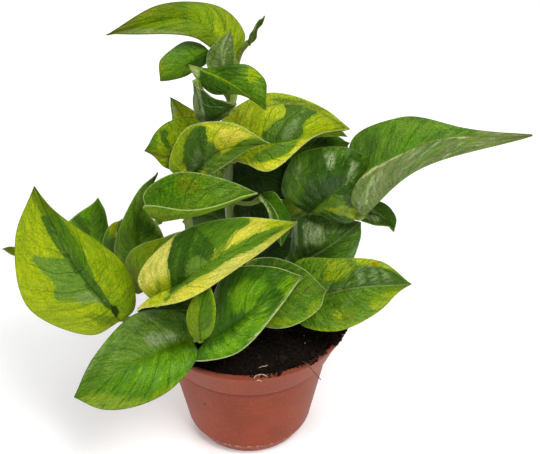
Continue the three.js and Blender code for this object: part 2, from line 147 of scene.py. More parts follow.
# %% Values
class Value:
    """One number or colour that flows through a material's nodes."""

    def __init__(self, finish, socket):
        self.finish, self.socket = finish, socket

    def maths(self, operation, *inputs):
        return self.finish.node("Math", dict(enumerate(inputs)), operation=operation)

    def __add__(self, other):
        return self.maths("ADD", self, other)

    def __sub__(self, other):
        return self.maths("SUBTRACT", self, other)

    def __rsub__(self, other):
        return self.maths("SUBTRACT", other, self)

    def __mul__(self, other):
        return self.maths("MULTIPLY", self, other)

    __radd__ = __add__
    __rmul__ = __mul__

    def size(self):
        """The value without its sign."""
        return self.maths("ABSOLUTE", self)

    def wave(self):
        """The sine of the value, in radians."""
        return self.maths("SINE", self)

    def rise(self, start, stop):
        """0 below start, 1 above stop, and an S-shaped rise between them, or a fall if stop is lower."""
        if stop < start:
            return 1 - self.rise(stop, start)
        inputs = {"Value": self, "From Min": start, "From Max": stop}
        return self.finish.node("MapRange", inputs, interpolation_type="SMOOTHSTEP")


print("values can be added, subtracted and multiplied")

# %% Finishes
class Finish:
    """A material whose nodes are made by arithmetic on Values, and by one method for the rest."""

    def __init__(self, name):
        self.material = bpy.data.materials.new(name)
        self.material.use_nodes = True
        self.tree = self.material.node_tree
        self.shader = self.tree.nodes["Principled BSDF"]

    def give(self, socket, value):
        """Links a Value to a socket, or sets the socket to a plain value."""
        if isinstance(value, Value):
            self.tree.links.new(value.socket, socket)
        else:
            socket.default_value = value

    def node(self, kind, inputs=None, output=0, **settings):
        made = self.tree.nodes.new("ShaderNode" + kind)
        for name, setting in settings.items():
            setattr(made, name, setting)
        for key, value in (inputs or {}).items():
            self.give(made.inputs[key], value)
        return Value(self, made.outputs[output])

    def set(self, **sockets):
        """Sets or links the shader's own sockets, named in small letters with _ for a space."""
        inputs = {socket.name.lower().replace(" ", "_"): socket for socket in self.shader.inputs}
        for name, value in sockets.items():
            self.give(inputs[name], value)

    def blend(self, share, first, second, blend_type="MIX"):
        """A colour that goes from first to second as share goes from 0 to 1."""
        inputs = {0: share, 6: first, 7: second}
        return self.node("Mix", inputs, 2, data_type="RGBA", blend_type=blend_type)

    def coats(self, ground, *coats):
        """Shades laid over a ground shade one after the other, each as strongly as its share says."""
        colour = paint(*ground)
        for share, shade in coats:
            colour = self.blend(share, colour, paint(*shade))
        return colour

    def noise(self, place, scale, detail=3.0, roughness=0.5):
        """Soft blotches about 0.5, scale to the metre or to the unit of place."""
        inputs = {"Vector": place, "Scale": scale, "Detail": detail, "Roughness": roughness}
        return self.node("TexNoise", inputs)

    def place(self):
        """The point's own place in metres."""
        return self.node("TexCoord", output="Object")

    def height(self):
        """How high the point is, in millimetres."""
        return self.node("SeparateXYZ", {"Vector": self.place()}, "Z") * 1000

    def stretched(self, place, scale):
        """Places drawn together or apart by a scale for each direction."""
        return self.node("Mapping", {"Vector": place, "Scale": scale})

    def attribute(self, name, output="Fac"):
        """A number or colour that numpy worked out for each point of the mesh."""
        return self.node("Attribute", output=output, attribute_name=name)

    def bump(self, height, depth):
        """Tilts the shading as if the surface rose by height times depth in metres."""
        return self.node("Bump", {"Height": height, "Distance": depth, "Strength": 1.0})


def paint(red, green, blue):
    """A colour as it looks on screen, 0 to 255, turned into the light that it stands for."""
    shown = np.array([red, green, blue]) / 255
    light = np.where(shown < 0.04045, shown / 12.92, ((shown + 0.055) / 1.055) ** 2.4)
    return (*light.tolist(), 1.0)


print("a mid grey on screen is light of", round(paint(128, 128, 128)[0], 3))

# %% [markdown]
# ## Rings
# Leaf, petiole, stem, root, twig and pot are all made in one way. A closed loop of points is worked
# out for every step along the piece, all loops at once as one array, and neighbouring loops are
# joined by four-sided faces. A point at each end closes the skin, so every piece is watertight.

# %% Rings into a mesh
def ring_faces(steps, around, start=0):
    """The faces that join loops of points: quads between neighbours, and a fan at either end."""
    grid = start + np.arange(steps * around).reshape(steps, around)
    turned = np.roll(grid, -1, 1)
    quads = np.stack([grid[:-1], turned[:-1], turned[1:], grid[1:]], -1).reshape(-1, 4)
    first, last = start + steps * around, start + steps * around + 1
    foot = np.stack([np.full(around, first), turned[0], grid[0]], -1)
    top = np.stack([np.full(around, last), grid[-1], turned[-1]], -1)
    return quads.tolist() + foot.tolist() + top.tolist()


def ring_points(rings, foot=None, top=None):
    """The points of the loops in one list, and then the two that close the ends."""
    foot = rings[0].mean(0) if foot is None else foot
    top = rings[-1].mean(0) if top is None else top
    return np.vstack([rings.reshape(-1, 3), foot, top])


def ringed(values, foot=0.0, top=0.0):
    """A number for each point of the loops in one list, and then for the two closing points."""
    return np.concatenate([np.asarray(values, float).ravel(), [foot, top]])


def new_mesh(name, points, faces):
    """A mesh from points in millimetres."""
    mesh = bpy.data.meshes.new(name)
    mesh.from_pydata((points * MM).tolist(), [], faces)
    return mesh


def add_piece(name, points, faces, body_of, slot, finish, numbers=None, colours=None, crease=50):
    """A piece of the plant, with the numbers and colours that its finish reads at each point."""
    mesh = new_mesh(name, points, faces)
    for key, values in (numbers or {}).items():
        mesh.attributes.new(key, "FLOAT", "POINT").data.foreach_set("value", np.ravel(values))
    for key, values in (colours or {}).items():
        mesh.attributes.new(key, "FLOAT_COLOR", "POINT").data.foreach_set("color", np.ravel(values))
    mesh.shade_smooth()
    mesh.set_sharp_from_angle(angle=np.radians(crease))
    mesh.materials.append(finish)
    piece = put(name, mesh)
    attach(piece, "root")
    if body_of:
        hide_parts(body_of)
    return piece


def add_rings(name, rings, *rest, **more):
    """A piece made of closed loops alone."""
    return add_piece(name, ring_points(rings), ring_faces(*rings.shape[:2]), *rest, **more)


print(f"3 loops of 8 points make {len(ring_faces(3, 8))} faces")

# %% Curves
def unit(vectors):
    """Vectors cut to length 1."""
    return vectors / np.linalg.norm(vectors, axis=-1, keepdims=True)


def once_round(around):
    """Angles evenly spaced over one turn."""
    return np.linspace(0, 2 * np.pi, around, endpoint=False)


def at_turn(radius, angle, height):
    """Points from a radius and an angle round the upright axis, and a height."""
    radius, angle, height = np.broadcast_arrays(radius, angle, height)
    return np.stack([radius * np.cos(angle), radius * np.sin(angle), height], -1)


def spline(points, share):
    """A smooth curve through points. Each stretch is a cubic whose end slopes come from the points on
    either side, weighted by the root of their distances, so it never swings out past a near point."""
    points = np.asarray(points, float)
    ends = np.vstack([2 * points[0] - points[1], points, 2 * points[-1] - points[-2]])
    steps = np.diff(ends, axis=0)
    spans = np.sqrt(np.linalg.norm(steps, axis=1, keepdims=True))
    slopes = steps[:-1] / spans[:-1] + steps[1:] / spans[1:]
    slopes = slopes - (ends[2:] - ends[:-2]) / (spans[:-1] + spans[1:])
    place = np.clip(share, 0, 1) * (len(points) - 1)
    stretch = np.minimum(place.astype(int), len(points) - 2)
    w = (place - stretch)[..., None]
    first, second = points[stretch], points[stretch + 1]
    leave, arrive = slopes[stretch] * spans[stretch + 1], slopes[stretch + 1] * spans[stretch + 1]
    bend = (2 * w**3 - 3 * w**2 + 1) * first + (3 * w**2 - 2 * w**3) * second
    return bend + (w**3 - 2 * w**2 + w) * leave + (w**3 - w**2) * arrive


def slope(points, share, step=1e-4):
    """The direction of that curve, from two points close together on it."""
    ahead, behind = np.clip(share + step, 0, 1), np.clip(share - step, 0, 1)
    return unit(spline(points, ahead) - spline(points, behind))


def along(points, share, samples=400):
    """The share of the curve's stretches that lies at a share of its length."""
    even = np.linspace(0, 1, samples + 1)
    lengths = np.linalg.norm(np.diff(spline(points, even), axis=0), axis=1)
    travelled = np.concatenate([[0], np.cumsum(lengths)])
    return np.interp(np.asarray(share) * travelled[-1], travelled, even)


def tube(line, radius, around):
    """A round rod: at each point of the line a circle lies across its direction, at that radius."""
    direction = unit(np.gradient(line, axis=0))
    least = np.eye(3)[np.argmin(np.abs(direction).max(0))]
    side = unit(np.cross(direction, least))
    other = np.cross(direction, side)
    angle = once_round(around)[:, None]
    circle = np.cos(angle) * side[:, None] + np.sin(angle) * other[:, None]
    return line[:, None] + np.reshape(radius, (-1, 1, 1)) * circle


arc = at_turn(1, once_round(8)[:5], 0)
print(f"half a circle through {len(arc)} points, {np.round(spline(arc, np.array([0.5, 0.6])), 3).tolist()}")

# %% [markdown]
# ## Stems and leaves as they grow
# These are the same stems and leaves as in the solids, in millimetres and sight units. A leaf's row says
# where its petiole sits, as a stem and a share of that stem's length. Then come the depths of its base,
# mid, tip, left margin and right margin, and nine sighted places: three of its midrib, three of its left
# margin and three of its right one. Some leaves end with what is special to them: a place and depth
# that the petiole goes by (via), how far the tip draws in at the left and at the right (drip), or how
# high each half arches (crown).

# %% The stems
STEMS = {
    "stem_main": {
        "radius": (3.4, 2.6),
        "points": ((-4, 8, 58), (-7, 9, 110), (-10, 8, 165), (-9, 4, 215), (-4, 1, 244)),
    },
    "stem_left": {
        "radius": (3, 2.2),
        "points": ((-20, -4, 58), (-24, -8, 100), (-31, -8, 130), (-33, -2, 158)),
    },
    "stem_right": {"radius": (3, 2.2), "points": ((16, 2, 58), (20, 4, 100), (30, 6, 135), (44, 8, 160))},
    "stem_front": {"radius": (2.8, 2), "points": ((-2, -20, 58), (-2, -24, 90), (-6, -26, 120))},
    "stem_back": {"radius": (2.8, 2), "points": ((6, 24, 58), (8, 32, 100), (6, 36, 150))},
}
print(f"{len(STEMS)} stems")

# %% The leaves
def rows(table):
    """The rows of a table, as lists of words. An indented line goes on from the line above it."""
    return [line.split() for line in table.replace("\n    ", " ").strip().splitlines()]


def places(words):
    """The numbers of some words that have commas in them, a row for each word."""
    return np.array([word.split(",") for word in words], float)


LEAVES = {}
for name, stem, share, depth, *words in rows("""
crown main 1 4,10,-12,-4,28 236,58 192,20 106,35 220,52 195,39 140,34 245,35 218,7 158,5 drip=0,0
crown_back main 0.965 -6,-9,-7,-5,-8 222,68 222,48 231,29 233,66 235,50 233,37 208,68 208,52 220,38
crown_left main 0.93 -2,-8,-20,-8,6 210,52 188,63 160,81 206,64 190,73 173,80 201,44 181,44 160,61
    drip=0,0
sprout main 0.9 2,2,-2,-1,5 249,46 254,33 265,16 249.5,40 252,30 258.5,21 252,43 256,34 261,25
    via=234,54,9 crown=-0.5
sickle main 0.895 -16,-20,-26,-8,-22 188,65 226,81 266,110 212,73 243,65 267,83 197,80 213,94 238,95
    via=208,80,-10
sickle_low main 0.845 -26,-31,-30,-35,-14 193,80 205,104 237,104 199,88 211,95 224,101 199,98 202,122
    219,121 via=206,106,-8
point main 0.6 4,6,8,2,10 194,134 183,116 170,97 180,138 172,122 171,107 200,128 197,114 181,103 drip=0,0
left_high main 0.55 -12,-20,-26,-22,-8 186,160 167,153 144,151 182,171 164,167 154,157 196,118 172,120
    153,135
yellow_edge main 0.66 -22,-32,-44,-26,-34 194,173 222,150 270,143 170,170 187,127 232,123 205,177 222,168
    248,150 drip=0.05,0.05
lime_dark main 0.72 -12,-20,-12,8,-34 232,160 285,140 350,129 221,122 266,94 326,109 246,164 268,172
    312,139 drip=0.05,0.25
lime_back main 0.78 14,14,6,24,10 262,130 305,120 348,137 262,108 296,102 330,115 272,138 298,137 327,137
cupped left 1 -34,-48,-50,-34,-60 157,221 197,213 258,193 144,194 178,172 236,183 144,206 183,211 235,200
    drip=0.05,0.05 crown=-2
cream left 0.6 -46,-62,-48,-44,-72 156,304 212,262 298,222 138,279 178,234 240,217 137,309 182,302 254,257
    drip=0.05,0.05
left_big left 0.5 -42,-44,-34,-52,-30 120,321 72,262 34,186 90,335 29,308 15,240 134,310 125,266 60,214
    via=148,326,-30 drip=0,0.35
front_left front 0.77 -46,-58,-66,-72,-40 193,340 136,362 74,397 197,357 165,394 105,410 184,314 137,313
    95,355 drip=0,0
front front 0.9 -52,-54,-46,-36,-66 205,345 252,310 303,276 208,312 228,271 276,267 193,360 236,354
    283,304 via=216,338,-44 drip=0.05,0.05
small_front front 0.5 -66,-70,-62,-67,-73 201,341 200,312 210,278 190,333 187,317 197,292 211,334 216,313
    213,292 via=192,350,-40
right_low right 0.35 -22,-36,-40,-24,-46 296,304 354,288 412,284 296,262 335,258 383,262 300,324 338,331
    385,308 drip=0.05,0.35
right_inner front 0.6 -30,-42,-46,-24,-54 250,306 292,292 327,290 246,264 270,257 306,270 262,325 290,327
    322,306
right_gloss right 0.6 -4,-14,-8,2,-16 290,268 330,246 361,222 290,242 300,217 340,218 310,275 348,266
    360,240 drip=0,0
right_dark right 0.92 -4,-14,-10,-2,-16 308,213 338,190 370,158 282,192 297,155 345,147 318,215 353,221
    362,192 drip=0,0
right_long right 1 -18,-22,-14,26,-42 360,216 417,168 533,135 352,140 402,118 459,126 351,197 375,167
    446,137 drip=0.15,0.35 crown=-1
right_small right 0.71 8,4,0,10,0 362,212 380,215 394,232 368,200 383,203 397,220 360,220 372,225 388,227
left_back left 0.86 10,12,14,12,16 104,258 91,228 98,197 78,256 64,228 82,210 112,250 109,230 105,210
    drip=0.35,0
left_edge left 0.75 2,0,2,5,-3 124,272 114,246 122,219 110,268 104,244 112,223 124,262 119,247 117,232
left_dark left 0.8 -10,-6,0,-10,-4 144,268 138,220 158,172 117,262 119,227 139,190 165,255 162,232 144,203
    drip=0,0
left_inner left 0.67 -24,-28,-26,-21,-33 136,292 150,262 180,233 124,275 131,251 160,238 150,290 160,278
    172,250
hanging main 0.52 -14,-26,-30,-20,-26 260,194 277,215 281,246 274,192 287,213 289,233 259,199 268,213
    272,232 via=246,212,-12
shade_low main 0.3 -10,-16,-18,-6,-22 246,270 268,254 292,238 250,252 270,240 288,234 256,272 276,266
    290,252
shade_mid main 0.42 4,-4,-8,8,-6 236,222 256,210 274,222 236,204 258,199 274,210 240,230 254,230 268,232
shade_high main 0.6 6,4,2,16,3 226,186 256,176 296,188 226,166 250,154 286,162 236,199 262,200 288,198
shade_right right 0.85 10,14,14,20,8 288,172 318,150 350,143 286,150 324,133 342,138 300,178 336,164
    348,150
far_left left 0.57 26,24,18,20,30 44,256 24,252 2,249 38,266 24,259 12,255 36,246 22,246 11,247
    via=84,252,32 drip=0,0
shade_front front 0.68 -26,-30,-34,-30,-24 222,318 184,310 137,311 210,326 184,322 156,319 212,304 185,296
    158,298
behind_top main 0.82 34,56,76,54,56 276,128 284,116 296,126 262,122 258,112 278,112 290,130 308,122
    308,122 drip=0.4,0.4
behind_mid back 1 52,76,98,74,74 248,176 246,164 244,172 226,172 208,166 224,166 270,172 286,166 266,166
    drip=0.4,0.4
behind_left back 0.8 44,56,68,50,64 226,196 204,184 182,190 218,206 194,204 180,198 232,174 214,164
    190,176 drip=0.4,0.4
behind_right right 0.78 38,58,74,64,50 304,184 322,176 342,186 296,172 308,160 332,168 312,194 330,198
    344,194 drip=0.4,0.4
behind_low_left back 0.55 46,64,84,56,66 232,226 208,214 182,222 226,240 202,240 184,234 230,212 210,196
    188,205 drip=0.4,0.4
behind_low_right back 0.45 46,64,86,68,58 278,222 304,212 330,222 276,206 298,190 322,204 284,236 306,240
    328,234 drip=0.4,0.4
"""):
    midrib, left, right = places(words[:9]).reshape(3, 3, 2)
    LEAVES["leaf_" + name] = {
        "on": ("stem_" + stem, float(share)), "depth": places([depth])[0],
        "midrib": midrib, "left": left, "right": right,
    }
    for word in words[9:]:
        key, value = word.split("=")
        LEAVES["leaf_" + name][key] = places([value])[0]
print(f"{len(LEAVES)} leaves")

# %% [markdown]
# ## The blade
# A blade is a surface of two parameters: t runs from the base to the tip, and v runs across, from 1 at
# the left margin over 0 at the midrib to -1 at the right margin. A line across starts on the midrib at
# t to the power 1.5 and ends on the margin at t, because round the lobes of a heart-shaped base the
# margin runs ahead. The solids have the same formula on a coarse grid. Here the grid is fine, so the
# blade can thin out to its margin, puff up a little between its side veins and sink along its midrib.
# Its halves arch, less so where they are narrow, and towards the tip they draw in to a drip tip.

# %% The blade's lines
BLADE = {
    "lead": 1.5, "turning": (0.05, 0.95), "near_base": 0.6, "near_tip": 0.55,
    "thickness": 0.9, "margin": 0.35, "rib": 1.5, "crown": 2.5, "taper": 0.7, "full_width": 20,
    "least_arch": 0.3, "ripple": 0.8, "waves": 2.2, "out_of_step": 0.35, "drip": (0.15, 0.15),
    "drip_from": 0.68, "drip_over": 0.3,
}
QUILT = {"veins": 9, "sweep": 0.16, "height": 0.22, "groove": 0.45, "groove_width": 0.05}


def blade_lines(leaf):
    """The midrib and the two margins, as points in space."""
    base, mid, tip, left, right = leaf["depth"]
    rib = [sighted(place, depth) for place, depth in zip(leaf["midrib"], (base, mid, tip))]

    def margin(line, side):
        near_base = base + BLADE["near_base"] * (side - base)
        depths = (near_base, side, side + BLADE["near_tip"] * (tip - side))
        return [rib[0], *(sighted(place, depth) for place, depth in zip(line, depths)), rib[2]]

    return rib, margin(leaf["left"], left), margin(leaf["right"], right)


def blade_up(lines, t, v):
    """The blade's own up: the cross product of its direction and its width. At the midrib it is the
    mean of both halves, and from half way out each half has its own. Near the ends, where the width
    goes to nothing, it no longer turns."""
    rib, left, right = lines
    share = np.clip(t, *BLADE["turning"])
    on_rib = spline(rib, share ** BLADE["lead"])
    ahead = slope(rib, share ** BLADE["lead"])
    left_up = unit(np.cross(ahead, spline(left, share) - on_rib))
    right_up = unit(np.cross(spline(right, share) - on_rib, ahead))
    shared = unit(left_up + right_up)
    own = np.where(v[..., None] > 0, left_up, right_up)
    return unit(shared + (own - shared) * np.minimum(1, 2 * np.abs(v))[..., None])


def blade_span(leaf, t, v):
    """The midrib's point at t to the power 1.5, and the margin's point at t. Towards the tip the margin
    draws in by the leaf's drip for its side, in an S-shaped rise, to the tip that sheds rain."""
    rib, left, right = blade_lines(leaf)
    on_rib = spline(rib, t ** BLADE["lead"])
    edge = np.where(v[..., None] > 0, spline(left, t), spline(right, t))
    s = np.clip((t - BLADE["drip_from"]) / BLADE["drip_over"], 0, 1)
    stretch = 1 - np.where(v > 0, *leaf.get("drip", BLADE["drip"])) * s * s * (3 - 2 * s)
    return on_rib, on_rib + (edge - on_rib) * stretch[..., None]


middle, margin = blade_span(LEAVES["leaf_front"], np.array([0.5]), np.array([-1]))
print(f"leaf_front is {np.linalg.norm(margin - middle):.0f} mm from its midrib to its right margin")

# %% The blade's formula
def blade_points(leaf, t, v, face):
    """The upper face (1) or the lower one (-1): midrib to margin in a straight line, lifted by the
    crown, an arch over each half that is flatter on a narrow one; the ripple, a wave that grows to the
    margin; and the quilting, a small cosine from vein to vein. The groove sinks along the midrib. The
    lower face lies the blade's thickness below, more along the midrib and less at the margin."""
    across = np.abs(v)
    taper = np.sin(np.pi * t) ** BLADE["taper"]
    arch = 4 * across * (1 - across)
    on_rib, edge = blade_span(leaf, t, v)
    width = np.linalg.norm(edge - on_rib, axis=-1)
    narrow = np.clip(width / BLADE["full_width"], BLADE["least_arch"], 1)
    crown = leaf.get("crown", BLADE["crown"]) * arch * taper * narrow
    wave = np.sin(2 * np.pi * (BLADE["waves"] * t + np.where(v > 0, 0, BLADE["out_of_step"])))
    ripple = BLADE["ripple"] * across**2 * wave * taper
    vein = 2 * np.pi * QUILT["veins"] * (t - QUILT["sweep"] * across)
    quilt = -QUILT["height"] * np.cos(vein) * arch * taper
    groove = QUILT["groove"] * np.exp(-((across / QUILT["groove_width"]) ** 2)) * taper
    rib_depth = BLADE["rib"] * (1 - across) ** 6 * np.sqrt(1 - t)
    thickness = BLADE["margin"] + (BLADE["thickness"] - BLADE["margin"]) * (1 - across**4) + rib_depth
    lift = BLADE["thickness"] / 2 + crown + ripple + quilt - groove * (face > 0)
    lift = lift - np.where(face > 0, 0, thickness)
    up = blade_up(blade_lines(leaf), t, v)
    return on_rib + (edge - on_rib) * across[..., None] + up * lift[..., None]


half_way = np.array([0.5, 0.5])
upper, lower = blade_points(LEAVES["leaf_front"], half_way, half_way, np.array([1, -1]))
print(f"leaf_front is {np.linalg.norm(upper - lower):.1f} mm thick half way out")

# %% [markdown]
# ## The petiole
# A petiole leaves its stem upwards and outwards and comes in under the base of the blade, where it has
# a short swollen joint that lets the leaf turn to the light.

# %% The petiole's formula
PETIOLE = {
    "radius": 1.4, "waist": 0.15, "overlap": 1.5, "under": 1.2, "steps": 40, "around": 10,
    "joint": 0.35, "joint_at": 0.9, "joint_width": 0.06, "sheath": 0.5, "sheath_width": 0.12,
    "leave": 0.2, "climb": 0.15, "arrive": 0.3,
}


def petiole_line(leaf, share):
    """A cubic from the stem to the blade, at shares of its way. Of its two inner points, the first lies
    up the stem and the second behind the blade's base, or at the place that the petiole goes by."""
    stem, at = leaf["on"]
    points = STEMS[stem]["points"]
    seat = spline(points, along(points, at))
    climb = slope(points, along(points, at))
    lines = blade_lines(leaf)
    start = slope(lines[0], np.array(0.0))
    up = blade_up(lines, np.array(0.0), np.array(0.0))
    end = lines[0][0] + PETIOLE["overlap"] * start - PETIOLE["under"] * up
    span = np.linalg.norm(end - seat)
    leave = seat + PETIOLE["leave"] * (end - seat) + PETIOLE["climb"] * span * climb
    arrive = end - PETIOLE["arrive"] * span * start
    if "via" in leaf:
        arrive = sighted(leaf["via"], leaf["via"][2])
    s = share[:, None]
    near = (1 - s) ** 3 * seat + 3 * s * (1 - s) ** 2 * leave
    return near + 3 * s**2 * (1 - s) * arrive + s**3 * end


def petiole_radius(share):
    """A rod that is thicker at its sheathed foot, and has a swollen joint just under the blade."""
    joint = PETIOLE["joint"] * np.exp(-(((share - PETIOLE["joint_at"]) / PETIOLE["joint_width"]) ** 2))
    sheath = PETIOLE["sheath"] * np.exp(-share / PETIOLE["sheath_width"])
    return PETIOLE["radius"] + joint + sheath - PETIOLE["waist"] * np.sin(np.pi * share)


print("petiole radii", np.round(petiole_radius(np.array([0, 0.5, 0.9])), 2), "mm")

# %% [markdown]
# ## What is painted on a leaf
# Lemon joy is variegated: lime and yellow fields with dark green blotches that stop at the veins, and
# a few plain green leaves. Each leaf has a ground paint. A wash goes softly into the ground, as the
# darker heart of a lime leaf does. A mark has a hard ragged border. Both are closed outlines in the
# same sight units as the leaf. A line is a mark that follows a path, such as a side vein or a pale
# streak, and some lines show on the underside alone. A bloom row is a thin wash over all of these, of
# pale streaky painted sheen that stands in for the gloss of the waxy skin. The rim and the midrib have a
# paint and a strength of their own, and so has the back of the blade.

# %% The paints
SHADES = {
    "deep": (28, 54, 2), "deep2": (46, 78, 6), "darker": (54, 90, 4), "dark": (66, 100, 16),
    "green2": (60, 104, 0), "green": (78, 118, 10), "bright": (82, 130, 0), "bright2": (100, 150, 2),
    "vivid": (118, 166, 6), "moss": (100, 134, 38), "fern": (92, 130, 18), "leafy": (104, 128, 6),
    "spring": (120, 148, 2), "lime": (138, 160, 4), "lime2": (150, 168, 2), "olive": (124, 132, 26),
    "lemon": (176, 188, 24), "yellow": (194, 194, 36), "butter": (204, 198, 62), "cream": (212, 206, 92),
    "grey": (120, 136, 70), "pale": (172, 190, 112), "sheen": (134, 154, 98), "gleam": (146, 166, 112),
    "rim": (84, 90, 22), "rust": (150, 100, 14), "stalk": (146, 168, 66),
}
PAINTS = {name: paint(*shade) for name, shade in SHADES.items()}
print(f"{len(PAINTS)} paints")

# %% How a leaf's rows are read
KINDS = ("wash", "mark", "line", "below", "bloom")
WEAR = {}


def dress(table):
    """Reads what leaves wear. A row named leaf starts a leaf, with its slot, its ground paint, and its
    rim, rib, back or shine where they are not the plain ones. The rows below it are a wash (paint, how
    soft it is, outline), a mark (paint, outline), a line (paint, half its width, path), a line that
    only the underside shows (below), or a bloom row, a thin wash of painted sheen over all the others."""
    for kind, name, *words in rows(table):
        if kind == "leaf":
            own = dict(word.split("=") for word in words[2:])
            wear = {"slot": "leaf_" + words[0], "ground": words[1]} | own | {each: [] for each in KINDS}
            WEAR["leaf_" + name] = wear
        elif kind == "mark":
            wear[kind].append((name, places(words)))
        else:
            wear[kind].append((name, float(words[0]), places(words[1:])))
    print(f"{len(WEAR)} leaves have their paint")


# %% What each leaf wears, at the crown and in the upper tier
# Painted light in these rows: the deep2 mark on crown_left is painted shade on its half below the fold; the
# pale wash and the gleam line on crown_back and the bloom rows of yellow_edge and lime_dark are painted
# highlights.
dress("""
leaf crown lime leafy rim=rim,0.8 rib=leafy,0.2
wash lime 14 200,2 226,8 244,24 250,42 240,62 228,46 212,36 202,26
wash spring 8 188,4 202,4 208,24 206,34 194,30 188,20
wash olive 7 106,34 118,24 134,15 152,9 170,7 152,15 134,23 118,31
wash spring 7 140,18 160,14 180,14 184,26 160,26 140,27
wash grey 3 108,36 122,30 140,29 160,30 180,32 196,37 190,40 170,36 150,37
line fern 1 183,3 186,16 187,31
line fern 0.9 160,9 163,18 163,27
line fern 0.9 206,10 210,22 212,36
line leafy 1.2 214,8 222,18 226,30
leaf crown_back green sheen rib=pale,0.7
wash pale 2 211,66 215,52 221,42 227,34 224,48 219,68
wash grey 4 226,70 230,48 233,40 236,56 234,68
line gleam 0.7 216,66 220,50 228,37
line pale 0.7 223,66 226,50 231,38
line moss 0.7 211,64 215,52 221,42
leaf crown_left green fern rim=rim,0.6 rib=green,0.5
wash leafy 4 158,72 160,62 166,56 164,68 162,78
wash green 8 176,44 196,42 210,48 194,54 180,58
mark deep2 184,66 194,58 204,52 213,49 211,60 207,68 198,67 190,68
leaf sprout green rim
wash moss 4 247,40 256,24 262,18 256,32 250,44
leaf sickle green green rim=rim,0.5 rib=lime,0.8
wash darker 4 214,70 226,65 240,66 238,76 226,82
wash fern 5 244,72 250,84 264,96 264,84 258,72
wash pale 4 184,62 198,66 204,72 196,78
mark darker 199,69 206,74 220,81 232,88 226,92 212,98 203,90
mark lime 248,67 254,65 258,69 262,77 256,80 250,82 246,78 249,73
leaf sickle_low green grey rib=pale,0.6
wash sheen 2 187,68 196,78 202,100 205,122 200,122 195,98
wash fern 4 214,108 226,103 234,104 224,112
mark deep2 200,86 206,92 214,98 226,102 238,104 226,112 212,122 206,122 203,106
line gleam 0.5 190,74 198,92 203,112
line green 0.6 206,100 210,108 211,116
line deep2 0.8 194,84 199,100 201,118
line green 0.5 210,100 217,106 224,109
leaf point lime lemon rim=dark,0.7
wash pale 3 162,98 170,100 178,108 174,118 164,118
leaf left_high lime lime rim=dark,0.6 rib=lime,0.5
wash fern 4 142,152 148,138 158,124 162,126 158,140 158,150
wash spring 5 160,120 176,116 196,114 190,120 172,130
wash olive 3 142,151 152,150 168,155 174,158 168,160
mark dark 160,131 165,129 169,133 166,138 170,144 169,150 165,146 161,139
line lime 0.9 158,127 159,138 163,147 169,153
leaf yellow_edge cream yellow rim=pale,0.6 rib=fern,0.3
wash lime 4 166,180 168,150 178,136 190,124 208,119 198,132 188,146 184,170
wash lime 4 200,120 214,120 232,123 250,132 262,139 250,136 232,127 212,124
wash butter 7 214,128 232,126 248,134 254,138 240,140 228,143 218,138
wash lemon 5 208,128 218,132 222,140 214,142 208,138
wash moss 4 206,176 212,160 226,152 246,140 268,140 276,146 250,156 226,172
mark dark 184,146 187,137 192,130 198,126 205,126 207,134 207,141 211,144 214,152 209,162 202,171 194,173
    187,172 183,160
mark moss 207,141 213,143 217,149 221,152 219,158 213,165 205,171 204,160
mark fern 222,158 226,153 233,149 238,143 246,140 256,138 264,141 256,145 244,148 232,155
mark moss 203,178 210,166 226,157 238,152 250,148 266,144 254,154 236,164 214,178
bloom sheen 4 190,170 194,154 198,146 201,156 199,170
bloom sheen 3 203,168 206,154 210,152 209,164
leaf lime_dark lime lime2 rim=pale,0.6 rib=fern,0.3
wash lemon 8 214,130 226,112 242,104 254,112 246,124 230,132
wash lemon 4 264,108 272,104 284,104 288,110 284,117 276,121 266,118
wash leafy 3 264,98 284,98 302,101 320,106 330,113 312,107 296,104 282,103
wash lime2 4 306,126 316,118 326,112 336,120 344,127 326,132 308,136
mark dark 262,140 263,133 269,128 276,121 284,118 287,112 284,105 294,103 306,105 319,110 317,114 311,116
    306,120 302,126 304,132 299,138 290,142 277,143 266,143
mark fern 250,160 256,154 264,150 276,144 290,143 297,139 296,146 290,151 282,156 270,160 260,162
mark yellow 238,161 250,164 262,163 274,160 284,157 292,151 297,144 304,140 326,135 300,154 276,170
    252,172
line olive 1 266,106 284,103 300,104 318,111 332,119 344,127
line moss 0.7 304,108 298,118 294,124
line moss 0.7 270,131 268,138 270,142
bloom sheen 4 284,128 292,120 300,118 298,130 290,139 282,140
bloom moss 4 266,130 272,124 284,119 290,110 302,108 298,118 286,126 274,138
bloom moss 4 270,146 284,142 292,140 286,150 272,156
leaf lime_back lime spring
""")
